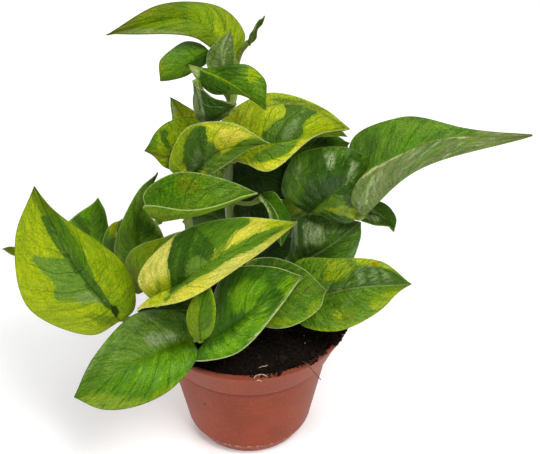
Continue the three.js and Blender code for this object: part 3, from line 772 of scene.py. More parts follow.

# %% What each leaf wears, in the middle and at the left
# Painted light in these rows: the bloom rows of left_big are painted highlights, and the deep ground of the
# shade leaves, with the dark ground of shade_right, is painted shade in the heart of the plant.
dress("""
leaf cupped green fern rim=pale,0.75 rib=moss,0.25 back=spring,0.6
wash bright 10 140,182 166,174 190,182 184,196 150,204
wash green 8 138,196 148,184 160,176 164,186 154,200 146,206
wash leafy 9 176,180 190,176 200,180 198,190 188,196 180,190
wash moss 10 210,178 226,176 244,186 240,196 222,202 212,190
leaf cream cream butter rim=pale,0.5 rib=dark,0.3
wash cream 3 134,276 148,250 174,230 172,256 168,274 150,282 140,290
wash lemon 5 146,292 162,280 174,276 172,292 162,306 150,304
wash spring 3 157,280 161,284 161,298 157,294
wash leafy 3 208,262 213,253 222,244 230,237 226,246 218,256
wash cream 5 214,270 234,258 262,244 280,232 262,250 236,268 206,284
wash lemon 5 262,222 290,220 302,224 276,234
mark darker 180,229 188,224 198,226 206,232 214,240 216,247 209,261 196,272 184,284 174,292 169,296
    171,284 169,272 167,262 170,250 174,240
mark green 188,224 200,219 214,216 232,216 246,218 251,220 246,225 238,229 230,237 222,245 216,250 212,244
    204,234 196,228
mark fern 163,300 172,292 182,283 192,275 202,268 209,263 222,252 232,246 244,240 256,234 270,229 286,225
    276,234 262,243 250,250 238,255 228,261 218,267 208,273 196,279 184,286 174,293 165,302
mark moss 184,281 186,268 190,259 196,255 204,258 209,262 202,268 192,275
line green 0.9 176,286 174,268 180,248
line green 0.8 190,260 191,246 198,232
line deep2 1.2 183,276 180,262 184,248
line deep2 1 199,256 202,244 208,236
leaf left_big lime lime2 rim=rim,0.45 rib=deep,0.5
wash spring 10 64,218 80,226 104,246 128,270 138,300 130,322 112,306 96,270 78,240
wash lime 8 76,226 96,244 116,262 126,290 116,296 100,270 84,248
wash leafy 5 32,184 40,196 50,206 64,216 54,218 42,216 34,204 30,194
wash leafy 5 86,316 104,314 120,318 114,326 98,324
mark moss 31,259 36,256 44,258 56,258 66,259 74,264 82,275 92,287 101,299 86,301 72,301 60,301 55,298
    54,292 57,288 52,280 44,273 38,266
mark dark 41,216 48,215 55,225 63,236 73,248 81,260 91,274 99,286 107,298 114,310 107,308 98,300 88,288
    78,275 68,262 57,247 48,233
mark green 47,215 55,213 63,221 73,236 83,252 91,269 97,284 88,272 78,257 68,243 58,229
mark deep 110,305 117,306 119,312 117,318 112,312
bloom sheen 4 76,297 90,292 104,301 96,304 80,303
bloom moss 4 50,222 60,234 72,252 66,252 54,238
leaf left_back green bright2
wash dark 6 70,214 84,216 92,232 84,240
mark green 92,216 97,203 102,208 106,218 108,230 102,240 94,236 90,226
leaf left_edge lime fern rim=pale,0.8
wash lime2 4 106,220 116,216 124,222 122,236 114,238 108,232
wash dark 5 104,240 112,240 118,248 118,266 108,266
leaf left_dark green fern rib=moss,0.3
wash moss 8 132,200 146,182 158,172 152,196 140,206
wash darker 8 136,214 152,224 160,236 146,238 136,230
wash fern 8 118,236 134,236 144,246 130,254
line pale 0.9 149,212 155,221 160,229 166,237
leaf left_inner lime spring rim=pale,0.6 rib=fern,0.3
wash lime 6 142,250 156,241 172,236 166,244 150,252
wash olive 8 122,270 136,268 140,284 128,292
leaf far_left green olive
leaf hanging green green2 rib=pale,0.5
line pale 0.9 258,194 265,204 270,214 274,232
leaf shade_low green deep rim=deep2,0.3 rib=deep2,0.5
leaf shade_mid green deep rim=deep2,0.3 rib=deep2,0.5
leaf shade_high green deep rim=deep2,0.3 rib=deep2,0.5
leaf shade_right green dark
""")

# %% What each leaf wears, in front and at the right
# Painted light in these rows: the sheen wash of front_left, the sheen washes and gleam lines of
# right_gloss, the sheen washes, the moss wash beside them and the gleam and sheen lines of right_dark, and
# the bloom rows of right_low are painted highlights; the deep2 ground of shade_front is painted shade.
dress("""
leaf front_left green bright rim=dark,0.5 rib=leafy,0.8 shine=0.3
wash moss 6 72,392 92,354 136,310 186,308 196,338 160,348 120,364
wash dark 8 140,308 184,308 196,326 184,334 166,326 146,318
wash sheen 6 144,338 152,333 166,332 176,335 176,339 164,343 152,346
wash green 5 84,382 96,360 112,340 116,346 104,366 92,384
wash spring 8 72,400 96,392 112,396 150,398 190,372 150,408 100,412
wash bright2 10 130,378 160,360 190,350 186,368 150,388
leaf front green green2 rim=pale,0.9 rib=green2,0.4 shine=0.25
wash darker 8 212,300 220,272 236,268 236,280 226,300 218,318
wash bright2 8 228,294 244,280 262,280 270,288 262,304 248,314 232,312
wash green2 10 256,300 272,286 284,290 270,306
wash vivid 6 278,287 290,277 306,275 297,289 287,299
wash bright2 10 206,352 226,338 250,318 268,300 266,326 240,348 216,360
line pale 0.8 300,279 290,294 276,312 262,330 248,346
leaf small_front lime spring rim=lime2,0.8 rib=dark,0.4
wash bright 4 200,284 206,282 205,306 204,328 200,330
wash vivid 3 200,336 208,328 213,332 206,342
mark green 205,286 211,292 212,306 212,318 209,326 205,330 204,312
leaf right_low green fern rim=lime,0.5 rib=pale,0.3 shine=0.3
wash lime 5 326,262 348,260 352,268 344,276 336,282 326,280
wash lime2 4 348,257 366,257 386,264 400,272 380,267 360,265
wash lime 5 366,304 376,296 394,289 408,287 394,302 376,312
wash green 5 312,300 330,300 344,296 362,292 374,298 358,306 338,308 318,310
wash leafy 5 330,312 344,308 360,312 352,322 336,322
wash spring 4 304,328 330,328 356,322 378,312 350,333 322,334
wash moss 5 330,290 340,284 352,282 346,288 334,296
mark dark 327,296 330,286 338,281 348,280 352,271 362,267 378,267 392,271 402,278 406,283 392,284 376,285
    356,289 340,293
mark lime 333,312 340,311 345,315 340,318 335,317
mark rust 372,264 375,262.5 378,264 375,265
line moss 0.9 346,284 352,282 358,279
line moss 0.8 336,290 344,287
bloom gleam 4 355,271 362,267 366,282 358,284
bloom gleam 4 369,266 377,268 378,282 371,283
bloom gleam 4 381,270 389,274 392,280 384,282
leaf right_inner green fern rim=pale,0.6 shine=0.3
wash dark 4 250,262 262,256 276,256 290,262 304,270 306,277 284,272 262,268
wash spring 4 268,319 284,318 302,321 300,328 268,328
wash spring 4 309,304 320,300 316,316 306,318
wash green 6 284,296 300,300 312,306 300,314 284,308
leaf right_gloss green dark rib=pale,0.25 shine=0.6
wash sheen 3 303,226 309,222 322,226 326,240 316,247 304,238
wash sheen 2 294,218 297,218 298,248 295,250
wash moss 5 330,220 340,219 340,232 332,234
wash green 6 334,252 348,238 362,224 362,246 346,268 330,264
wash deep2 5 298,246 312,248 330,246 318,258 300,258
line gleam 0.7 303,228 305,236 306,245
line gleam 0.8 309,223 311,234 311,243
line gleam 0.6 314,226 315,234 314,240
line moss 0.6 322,222 323,232 322,240
leaf right_dark green darker rim=leafy,0.6 rib=green,0.4 shine=0.6
wash green 6 316,144 330,144 344,148 352,154 340,158 324,152
wash green 8 284,190 290,168 300,154 312,152 306,176 298,204 288,206
wash deep2 6 300,200 312,190 330,176 344,176 336,192 316,206 302,212
wash sheen 3 327,154 334,152 335,164 330,170 326,164
wash sheen 2 352,160 357,163 353,174 346,184 348,172
wash moss 3 296,166 301,162 300,172 296,180
wash green 3 362,150 369,153 368,166 362,164
mark fern 311,216 316,208 324,201 334,194 342,196 346,204 338,208 326,208 318,213
mark lime 322,209 334,208 344,205 352,208 362,212 360,221 348,217 334,213
line gleam 0.8 326,156 329,160 331,164
line gleam 0.9 331,153 333,160 332,166
line gleam 0.8 353,163 352,170 349,177
line sheen 0.8 357,164 355,172 351,180
line sheen 0.6 298,168 299,173 297,178
leaf right_long green green rim=rim,0.5 rib=moss,0.8 back=grey,0.9
wash dark 12 344,146 366,128 382,134 384,150 368,168 350,160
wash fern 9 396,122 436,118 462,128 440,136 404,142
wash moss 6 440,124 474,132 448,136
wash bright 8 396,150 410,132 420,136 412,150 400,156
wash grey 3 474,122 500,126 540,130 540,142 500,142 478,141
below moss 1.6 404,170 418,159 432,149 444,143
below sheen 2.6 360,206 366,192 374,178
below sheen 1.1 402,170 416,160 428,150 440,141
below pale 1 366,204 368,190 374,176
below pale 0.9 352,189 360,179 376,168 394,158 424,143 444,138 468,137
below sheen 1 374,194 376,182 382,172
below sheen 0.9 444,158 458,146 470,134
below moss 1.2 408,172 424,160 438,150
below moss 1.1 360,196 366,184 372,174
below moss 1 386,180 396,168 408,158
below sheen 0.7 396,166 414,154 432,145 448,139
below moss 1 452,152 468,142 484,137
below sheen 0.8 476,146 492,139 508,135
leaf right_small green dark
wash sheen 3 362,210 374,210 384,218 376,222 364,218
line deep2 0.9 364,212 378,215 392,226
leaf shade_front green deep2
""")

# %% What each leaf wears, at the back
# Painted light in these rows: the darker ground of behind_low_left is painted shade in the heart of the
# plant.
dress("""
leaf behind_top lime lime
mark green 284,112 296,112 304,120 298,128 288,122
leaf behind_mid cream yellow
mark dark 214,164 230,160 244,162 240,176 226,178
mark green 250,178 262,170 276,164 270,176 258,182
leaf behind_left green fern
wash spring 8 178,186 196,168 212,176 200,190
leaf behind_right green green
mark spring 306,164 322,164 334,174 322,180 310,176
leaf behind_low_left green darker
leaf behind_low_right green fern
wash lime 8 286,208 304,194 320,202 304,214
""")

# %% How a mark finds its leaf
OUTSIDE = -50.0


def clear_of(starts, sides, at):
    """How far each place lies from the nearest of some straight sides: at the share of a side's length
    where the place is square to it, kept between its ends."""
    to = at[:, None] - starts
    share = np.clip((to * sides).sum(-1) / (sides**2).sum(-1), 0, 1)
    return np.linalg.norm(to - share[..., None] * sides, axis=-1).min(1)


def inside(outline, at):
    """How far inside a closed outline each place lies: its distance from the nearest side, and
    negative outside. A place is inside if a line down from it crosses the outline an odd number
    of times."""
    sides = np.roll(outline, -1, 0) - outline
    across, down = at[:, None, 0] - outline[:, 0], at[:, None, 1]
    spans = (across >= 0) != (at[:, None, 0] >= (outline + sides)[:, 0])
    height = outline[:, 1] + sides[:, 1] * across / np.where(sides[:, 0] == 0, 1, sides[:, 0])
    crossings = (spans & (height > down)).sum(1)
    away = clear_of(outline, sides, at)
    return np.where(crossings % 2 == 1, away, -away)


def beside(path, width, at):
    """How far inside a stroke along an open path each place lies, if it reaches width to either side."""
    return width - clear_of(path[:-1], np.diff(path, axis=0), at)


square = np.array([[0, 0], [4, 0], [4, 4], [0, 4.0]])
print("inside a square and beside it:", inside(square, np.array([[2, 1], [6, 2.0]])))

# %% How washes and marks are laid
STREAKS = {"waves": (41, 73, 131), "apart": 2.1, "in_a_wash": 0.45}
# How strongly the painted sheen is laid, as a share of a full wash.
PAINTED_SHEEN_STRENGTH = 0.4


def streaks(t, v, number):
    """Lines that run with the veins, from -1 to 1: three sines of the place along the midrib where
    a vein starts, out of step from leaf to leaf and from half to half."""
    start = t - QUILT["sweep"] * np.abs(v)
    half = STREAKS["apart"] * number + np.sign(v)
    slow, middling, quick = STREAKS["waves"]
    first_two = np.sin(slow * start + half) + np.sin(middling * start + 2 * half)
    return (first_two + np.sin(quick * start - 3 * half + 2 * v)) / 3


def washed(colour, washes, at, streak, strength=1.0):
    """The colour with soft patches laid over it. A patch fades out over its softness, and the streaks
    draw it out, so that it ends along the veins."""
    for name, soft, outline in washes:
        share = np.clip(inside(outline, at) / soft + 0.5 + STREAKS["in_a_wash"] * streak, 0, 1)[:, None]
        share = share * share * (3 - 2 * share) * strength
        colour = colour + (np.array(PAINTS[name]) - colour) * share
    return colour


def painted(wear, at, streak, under):
    """The ground's colour, the marks' colour, and how far inside a mark each place lies. Where marks
    overlap, the later one lies on top."""
    ground = washed(np.tile(PAINTS[wear["ground"]], (len(at), 1)), wear["wash"], at, streak)
    colour = ground.copy()
    reach = np.full(len(at), OUTSIDE)
    marks = [(name, inside(outline, at)) for name, outline in wear["mark"]]
    marks += [(name, beside(path, width, at)) for name, width, path in wear["line"]]
    for name, width, path in wear["below"]:
        marks.append((name, np.where(under > 0, beside(path, width, at), OUTSIDE)))
    for name, depth in marks:
        over = (depth > 0) | (depth > reach)
        colour[over] = PAINTS[name]
        reach = np.maximum(reach, depth)
    # Painted sheen: pale streaky washes laid over ground and marks alike.
    ground, colour = (washed(c, wear["bloom"], at, streak, PAINTED_SHEEN_STRENGTH) for c in (ground, colour))
    return ground, colour, reach


print(f"{sum(len(wear[kind]) for wear in WEAR.values() for kind in KINDS)} washes, marks and lines to lay")

# %% [markdown]
# ## The leaf's finish
# One recipe makes the three leaf finishes. It mixes the ground and the marks, with a border that noise
# drawn out along the veins makes ragged. Over them go a mottling, the side veins and the fine net of
# the skin in darker green, pale streaks that are partly grain and partly painted glints, and the paints
# of the midrib and the rim. The back has its own paint and is duller. The skin is waxy: fairly glossy,
# with a clear coat on the leaves that shine, and the veins pressed in.

# %% The leaf's finish
LINE_WIDTHS = {"rib": (0.75, 0.25), "rim": (0.65, 0.25)}


def leaf_finish(name, roughness, raggedness, contrast):
    """A waxy variegated leaf. Numbers on the mesh give t, v, the distances in millimetres to the
    midrib (rib) and the margin (rim), the marks' reach, the underside, the petiole (stalk), the shine,
    and a number that sets leaves apart. Colours give the ground, the marks, and the paints of rib, rim
    and back, each with its strength as Alpha."""
    f = Finish(name)
    v = f.attribute("v")
    across = v.size()
    flow = f.attribute("t") - across * QUILT["sweep"]
    on_blade = f.node("CombineXYZ", {0: flow, 1: v, 2: f.attribute("leaf")})

    def grain(along, over, apart, detail):
        return f.noise(f.stretched(on_blade, (along, over, apart)), 1.0, detail, 0.62) - 0.5

    streak = grain(52, 4, 3.7, 4.0)
    patch = grain(24, 11, 2.3, 3.0)
    blotch = grain(8, 3, 5.3, 2.0)
    fleck = f.noise(f.place(), 1100.0, 2.0) - 0.5
    cells = {"Vector": f.place(), "Scale": 520.0}
    net = f.node("TexVoronoi", cells, feature="DISTANCE_TO_EDGE").rise(0.14, 0.0)

    bare = 1 - f.attribute("stalk")
    ground, mark = f.attribute("ground", "Color"), f.attribute("mark", "Color")
    reach = f.attribute("reach")
    fringe = (reach + (patch + blotch) * raggedness).rise(-3.2, -0.2)
    marked = (reach + (streak + patch * 0.7) * raggedness).rise(-0.3, 0.3)
    below = f.attribute("under") * bare
    colour = f.blend(fringe * 0.3, ground, mark)
    colour = f.blend(below * f.attribute("back_paint", "Alpha"), colour, f.attribute("back_paint", "Color"))
    colour = f.blend(marked, colour, mark)

    vein_wave = (flow * (np.pi * QUILT["veins"]) + blotch * 1.6).wave().size()
    vein = vein_wave.rise(0.11, 0.0) * across.rise(1.0, 0.75) * (streak + 0.5).rise(0.25, 0.55) * bare
    mottled = (streak * 1.8 + patch * 1.2 + blotch * 0.9 + fleck * 1.1) * contrast + 1.0
    mottling = f.node("CombineXYZ", {0: mottled, 1: mottled * 0.6 + 0.4, 2: mottled})
    colour = f.blend(1.0, colour, mottling, "MULTIPLY")
    colour = f.blend((net * 0.3 + vein * 0.7) * bare, colour, (0.45, 0.7, 0.25, 1), "MULTIPLY")
    # Pale sheen-green streaks along the veins: partly the skin's grain, partly painted glints.
    grain_and_glints = (streak + patch * 0.5 + fleck * 0.3).rise(0.08, 0.3) * 0.22 * bare
    colour = f.blend(grain_and_glints, colour, paint(140, 164, 86))
    for line, width in LINE_WIDTHS.items():
        share = f.attribute(line).rise(*width) * bare * f.attribute(line + "_paint", "Alpha")
        colour = f.blend(share, colour, f.attribute(line + "_paint", "Color"))

    height = streak * 0.8 + patch * 1.2 + blotch * 1.4 - vein * 0.6 - net * 0.25 + fleck * 0.2
    gloss = patch * 0.3 + roughness + below * 0.2
    wax = f.attribute("shine") * (1 - below) * (patch + streak + 0.6)
    f.set(base_color=colour, roughness=gloss, coat_weight=wax, normal=f.bump(height, 0.001))
    f.set(coat_roughness=0.2, specular_ior_level=0.12)
    return f.material


SKINS = {"leaf_green": (0.42, 4.0, 1.15), "leaf_lime": (0.48, 5.0, 0.8), "leaf_cream": (0.44, 7.0, 0.7)}
LEAF_FINISHES = {name: leaf_finish(name, *settings) for name, settings in SKINS.items()}
print(f"{len(LEAF_FINISHES)} leaf finishes")

# %% [markdown]
# ## Growing the leaves
# For each leaf the upper and lower faces make one flat loop per row, from the left margin over the top
# to the right margin and back underneath. The petiole's circles follow in the same mesh, so a leaf is
# one piece, as it is on the plant.

# %% The grid of a blade
GRID = {"spacing": 0.85, "rows": (40, 150), "half_width": 0.6, "columns": (10, 44), "pole_gap": 0.004}


def blade_grid(leaf):
    """t, v and face for the loops of a blade: rows from base to tip, about evenly spaced in
    millimetres, and columns that crowd towards the margin as the sine does."""
    rib, left, right = map(np.array, blade_lines(leaf))
    length = np.linalg.norm(np.diff(rib, axis=0), axis=1).sum()
    width = np.linalg.norm(left[2] - right[2])
    rows = int(np.clip(length / GRID["spacing"], *GRID["rows"]))
    columns = int(np.clip(GRID["half_width"] * width / GRID["spacing"], *GRID["columns"]))
    t = np.linspace(GRID["pole_gap"], 1 - GRID["pole_gap"], rows)[:, None]
    side = np.sin(np.linspace(np.pi / 2, -np.pi / 2, 2 * columns + 1))
    v = np.concatenate([side, side[::-1]])[None]
    face = np.concatenate([np.ones(side.size), -np.ones(side.size)])[None]
    return [np.ascontiguousarray(a) for a in np.broadcast_arrays(t, v, face)]


# %% Grow the leaves
PLAIN = {"rim": "pale,0.35", "rib": "stalk,0.3", "back": "moss,0.5"}
FAR = 9.0


def grow_leaf(number, name):
    """One leaf: loops round the blade from base to tip, then loops round the petiole."""
    leaf, wear = LEAVES[name], WEAR[name]
    t, v, face = blade_grid(leaf)
    rib = blade_lines(leaf)[0]
    on_rib, edge = blade_span(leaf, t, v)
    half_width = np.linalg.norm(edge - on_rib, axis=-1)
    rings = blade_points(leaf, t, v, face)
    points = ring_points(rings, rib[0], rib[2])
    blade_t, blade_v, under = ringed(t, 0, 1), ringed(v), ringed(face < 0)
    streak = streaks(blade_t, blade_v, number)
    ground, mark, reach = painted(wear, in_sight(points), streak, under)

    share = np.linspace(0, 1, PETIOLE["steps"])
    stalk_rings = tube(petiole_line(leaf, share), petiole_radius(share), PETIOLE["around"])
    stalk_points = ring_points(stalk_rings)
    faces = ring_faces(*rings.shape[:2]) + ring_faces(*stalk_rings.shape[:2], start=len(points))
    length = np.repeat(share[:, None], PETIOLE["around"], 1)
    shine = float(wear.get("shine", 0))
    counts = (len(points), len(stalk_points))
    on_blade_and_stalk = {
        "t": (blade_t, ringed(length, 0, 1)),
        "v": (blade_v, ringed(np.cos(once_round(PETIOLE["around"])) + 0 * length)),
        "under": (under, 0),
        "rib": (ringed(half_width * np.abs(v)), FAR),
        "rim": (ringed(half_width * (1 - np.abs(v)), FAR, 0), FAR),
        "stalk": (0, 1),
        "reach": (reach, OUTSIDE),
        "leaf": (number, number),
        "shine": (shine, shine),
    }
    numbers = {}
    for key, parts in on_blade_and_stalk.items():
        spread = [np.broadcast_to(part, count) for part, count in zip(parts, counts)]
        numbers[key] = np.concatenate(spread, dtype=float)
    stalk = np.tile(PAINTS["stalk"], (len(stalk_points), 1))
    colours = {"ground": np.vstack([ground, stalk]), "mark": np.vstack([mark, stalk])}
    for line, plain in PLAIN.items():
        shade, strength = wear.get(line, plain).split(",")
        colours[line + "_paint"] = np.tile((*PAINTS[shade][:3], float(strength)), (sum(counts), 1))
    return add_piece(
        name + "_grown", np.vstack([points, stalk_points]), faces, name, wear["slot"],
        LEAF_FINISHES[wear["slot"]], numbers, colours)


leaves = [grow_leaf(number, name) for number, name in enumerate(LEAVES)]
print(f"{len(leaves)} leaves, {sum(len(leaf.data.polygons) for leaf in leaves)} faces")

# %% [markdown]
# ## The stems
# The stems are smooth and pale green, darker on the older part low down, with a ring at each node
# where a leaf once sheathed them. They are circles along the same curves as the solids, with the rings
# as narrow swellings.

# %% The stems
STEM = {"steps": 120, "around": 20, "nodes": 5, "swelling": 0.35, "node_width": 0.02, "aged": (215, 195)}


def stalk_finish():
    """Pale green skin with faint lengthwise fibres, browner at the nodes, darker on the older part."""
    f = Finish("stalk")
    fibre = f.noise(f.stretched(f.place(), (1, 1, 0.15)), 1400.0)
    blotch = f.noise(f.place(), 220.0)
    colour = f.coats(
        (166, 190, 84), (fibre.rise(0.3, 0.7), (206, 222, 134)),
        (blotch.rise(0.5, 0.75) * 0.5, (110, 128, 48)),
        (f.height().rise(*STEM["aged"]) * 0.75, (70, 92, 32)),
        (f.attribute("node") * 0.7, (112, 96, 50)))
    f.set(base_color=colour, roughness=0.48, normal=f.bump(fibre, 0.0003))
    return f.material


stalk = stalk_finish()


def grow_stem(name, points, radius):
    """A rod whose radius goes evenly from foot to top, with a narrow swelling at every node."""
    share = np.linspace(0, 1, STEM["steps"])
    line = spline(points, along(points, share))
    place = (share * STEM["nodes"] + 0.5) % 1 - 0.5
    node = np.exp(-((place / STEM["nodes"] / STEM["node_width"]) ** 2))
    thick = radius[0] + (radius[1] - radius[0]) * share + STEM["swelling"] * node
    rings = tube(line, thick, STEM["around"])
    node_rings = np.repeat(node[:, None], STEM["around"], 1)
    return add_rings(name + "_grown", rings, name, "stalk", stalk, {"node": ringed(node_rings, 1, 1)})


stems = [grow_stem(name, **stem) for name, stem in STEMS.items()]
print(f"{len(stems)} stems")

# %% [markdown]
# ## The pot
# The pot is a thin thermoformed nursery pot: a rolled lip, a flared collar that steps in to a tapering
# wall, and a chamfered foot. The solid is turned with few sides. This one is turned from the same
# sizes with many, and its corners are rounded as the real moulding is.

# %% The pot's profile
POT = {
    "height": 87, "rim_radius": 60, "lip_height": 3.2, "lip_proud": 0.8, "collar_height": 24,
    "collar_foot_radius": 50.5, "wall_top_radius": 48.6, "wall_foot_radius": 38,
    "chamfer_height": 9, "base_radius": 32.5, "wall": 1.6, "foot_ring": 4, "centre_pad": 11,
    "base_lift": 2, "drain_holes": 6, "drain_radius": 3.5, "drain_circle": 20, "drain_depth": 6,
    "corner": 0.9, "centre": 0.01, "around": 240, "speck": (-0.0253, -0.0372, 0.0443),
    "speck_sizes": (0.0013, 0.0008), "scuffs": (24, 6), "redder": (56, 66), "shaded_lip": (84, 86),
    "step_shadow_below": 1.8,
}


def rounded(profile, radius, points=5):
    """A profile with each inner corner cut off at a distance, under half of its shorter side, and
    replaced by a short smooth bend, a parabola from side to side."""
    corners = np.array(profile, float)
    before, after = corners[:-2] - corners[1:-1], corners[2:] - corners[1:-1]
    reach = np.minimum(np.linalg.norm(before, axis=1), np.linalg.norm(after, axis=1)) * 0.45
    reach = np.minimum(reach, radius)[:, None]
    start, stop = corners[1:-1] + unit(before) * reach, corners[1:-1] + unit(after) * reach
    w = np.linspace(0, 1, points)[None, :, None]
    bends = (1 - w) ** 2 * start[:, None] + 2 * w * (1 - w) * corners[1:-1, None] + w**2 * stop[:, None]
    return np.vstack([corners[:1], bends.reshape(-1, 2), corners[-1:]])


def pot_profile():
    """Radius and height down the outside of the pot, under its foot, and up the inside."""
    p = POT
    collar_foot = p["height"] - p["collar_height"]
    lifted = p["base_radius"] - p["foot_ring"]
    lip_foot = p["height"] - p["lip_height"]
    rim, lip, wall = p["rim_radius"], p["lip_proud"], p["wall"]
    outside = [
        (p["centre"], 0), (p["centre_pad"], 0), (p["centre_pad"] + p["base_lift"], p["base_lift"]),
        (lifted - p["base_lift"], p["base_lift"]), (lifted, 0), (p["base_radius"], 0),
        (p["wall_foot_radius"], p["chamfer_height"]), (p["wall_top_radius"], collar_foot),
        (p["collar_foot_radius"], collar_foot + lip), (rim - 2 * lip, lip_foot - lip),
        (rim, lip_foot), (rim, p["height"]),
    ]
    within = [
        (rim - wall, p["height"]), (p["collar_foot_radius"] - wall, collar_foot + wall),
        (p["wall_top_radius"] - wall, collar_foot - wall),
        (p["wall_foot_radius"] - wall, p["chamfer_height"] + lip),
        (p["base_radius"] - wall, wall + p["base_lift"]), (p["centre"], wall + p["base_lift"]),
    ]
    return rounded(outside + within, p["corner"])


print(f"{len(pot_profile())} points down the outside and up the inside")

# %% [markdown]
# ## The pot's plastic
# Nursery pots are cheap, thin and handled a lot, so a clean even terracotta looks wrong. The plastic is
# matt with a faint mottling and pale spots. A painted shadow darkens the step under the collar, the top
# of the lip is painted darker as shade, and the places that rub on a shelf go pale: the foot and the
# edge of the chamfer. Each is a shade laid over the last, as strong as noise and the height of the point
# say.

# %% The pot's plastic
def pot_finish():
    """Terracotta-coloured plastic: faint mottling, turning lines and pale spots, a redder collar whose lip
    is painted darker as shade against the light from above, a painted shadow line where the collar steps
    in, pale scuffs at the foot and along the edge of its chamfer, and a dark speck."""
    f = Finish("pot")
    place, height = f.place(), f.height()
    mottle = f.noise(place, 60.0, 4.0)
    grain = f.noise(place, 1500.0, 2.0)
    lines = f.noise(f.stretched(place, (0.1, 0.1, 6)), 260.0)
    scuff = f.noise(f.stretched(place, (1, 1, 3)), 320.0, 5.0, 0.7)
    spots = f.noise(place, 480.0, 3.0, 0.6)
    step = POT["height"] - POT["collar_height"]
    # A painted shadow line just under the collar's step, broken up by noise; it also sinks the relief a
    # little.
    step_shadow = (height - step + POT["step_shadow_below"]).size().rise(2.4, 0.2) * scuff.rise(0.2, 0.55) * 0.6
    scuffed = scuff.rise(0.56, 0.7) * height.rise(*POT["scuffs"]) * 0.35
    worn = (height - POT["chamfer_height"]).size().rise(1.8, 0.2) * spots.rise(0.52, 0.66) * 0.75
    away = f.node("VectorMath", {0: place, 1: POT["speck"]}, "Value", operation="DISTANCE")
    colour = f.coats(
        (134, 52, 22), (mottle.rise(0.3, 0.7), (150, 64, 34)), ((grain - 0.5).size() * 1.3, (96, 40, 22)),
        (spots.rise(0.5, 0.7) * 0.25, (176, 92, 60)),
        (height.rise(*POT["redder"]) * 0.12, (160, 66, 26)),
        # The top of the lip painted darker: painted shade against the light from above.
        (height.rise(*POT["shaded_lip"]) * 0.6, (104, 50, 34)), (step_shadow, (92, 40, 26)),
        (scuffed, (186, 126, 100)), (worn, (214, 170, 148)),
        (away.rise(*POT["speck_sizes"]), (70, 26, 16)))
    relief = grain * 0.35 + lines * 0.4 + mottle * 0.5 - step_shadow * 0.6
    f.set(base_color=colour, roughness=mottle * 0.16 + 0.4, normal=f.bump(relief, 0.0002))
    f.set(specular_ior_level=0.16)
    return f.material


pot_look = pot_finish()
print(f"{len(pot_look.node_tree.nodes)} nodes in the pot's plastic")

# %% Turn the pot and drill its foot
def turn(profile, around):
    """A profile carried round the upright axis: radius times cosine and sine, at its height."""
    return at_turn(profile[:, :1], once_round(around), profile[:, 1:])


def drilled(piece, centres, radius, height, around=24):
    """Cuts round holes through a piece at its foot: a Boolean takes upright rods away from it, and
    its result becomes the piece's mesh."""
    levels = np.array([[0, 0, -1], [0, 0, height]])
    rods = centres[:, None, None] + levels[:, None] + at_turn(radius, once_round(around), 0)
    points = np.vstack([ring_points(rod) for rod in rods])
    count = 2 * around + 2
    faces = [face for number in range(len(rods)) for face in ring_faces(2, around, number * count)]
    cutter = put("rods", new_mesh("rods", points, faces))
    cut = piece.modifiers.new("drain", "BOOLEAN")
    cut.operation, cut.solver, cut.object = "DIFFERENCE", "EXACT", cutter
    ready = piece.evaluated_get(bpy.context.evaluated_depsgraph_get())
    piece.data = bpy.data.meshes.new_from_object(ready)
    piece.modifiers.clear()
    bpy.data.objects.remove(cutter)


pot = add_rings("pot_turned", turn(pot_profile(), POT["around"]), "pot", "pot", pot_look, crease=60)
hole_turns = 2 * np.pi * (np.arange(POT["drain_holes"]) + 0.5) / POT["drain_holes"]
drilled(pot, at_turn(POT["drain_circle"], hole_turns, 0), POT["drain_radius"], POT["drain_depth"])
print(f"pot {pot.dimensions[0] * 1000:.0f} mm across, {pot.dimensions[2] * 1000:.0f} mm high")

# %% [markdown]
# ## The soil
# Potting soil is a heap of crumbs, so a bumpy disc alone looks like felt. Here a rough surface carries
# some thousands of small angular crumbs, and a few have spilled over the rim. A crumb is a ball of
# twenty faces pushed out of shape, placed by a seeded draw, and all crumbs are worked out in one array.
# White perlite, pale root ends and a dry twig over the rim lie among them.

# %% The soil's surface
SOIL = {
    "edge_drop": 1.4, "mound": 4, "lump": 1.1, "rings": 70, "around": 220, "grit": 0.9, "rim_gap": 1.9,
    "wall_gap": 2.4, "side_heights": (4, 11, 61, 66),
}
draw = np.random.default_rng(12)


def soil_height(radius, angle):
    """A mound that falls off with the square of the radius, with lumps that fade out at the edge."""
    share = radius / POT["rim_radius"]
    lumps = np.sin(3 * angle + 7 * share) + np.sin(5 * angle - 11 * share) + np.cos(8 * angle + 17 * share)
    mound = SOIL["mound"] * (1 - share**2) + SOIL["lump"] * lumps * share * (1 - share**4)
    return POT["height"] - SOIL["edge_drop"] + mound


def soil_finish(name, dark, light, fleck):
    """Moist compost, quite dull: near black in the hollows and browner on the crumbs. The colour follows
    the same noise as the bumps, so the dark hollows are partly painted shade.
    """
    f = Finish(name)
    crumb = f.noise(f.place(), 420.0, 5.0, 0.65)
    grain = f.noise(f.place(), 1900.0, 3.0)
    # Darker where the bump sinks: the compost's own colour, partly painted shade in the hollows.
    colour = f.coats(dark, (crumb.rise(0.35, 0.8), light), (grain.rise(0.6, 0.8) * 0.35, fleck))
    f.set(base_color=colour, roughness=0.9, normal=f.bump(crumb + grain * 0.4, 0.0012))
    f.set(specular_ior_level=0.12)
    return f.material


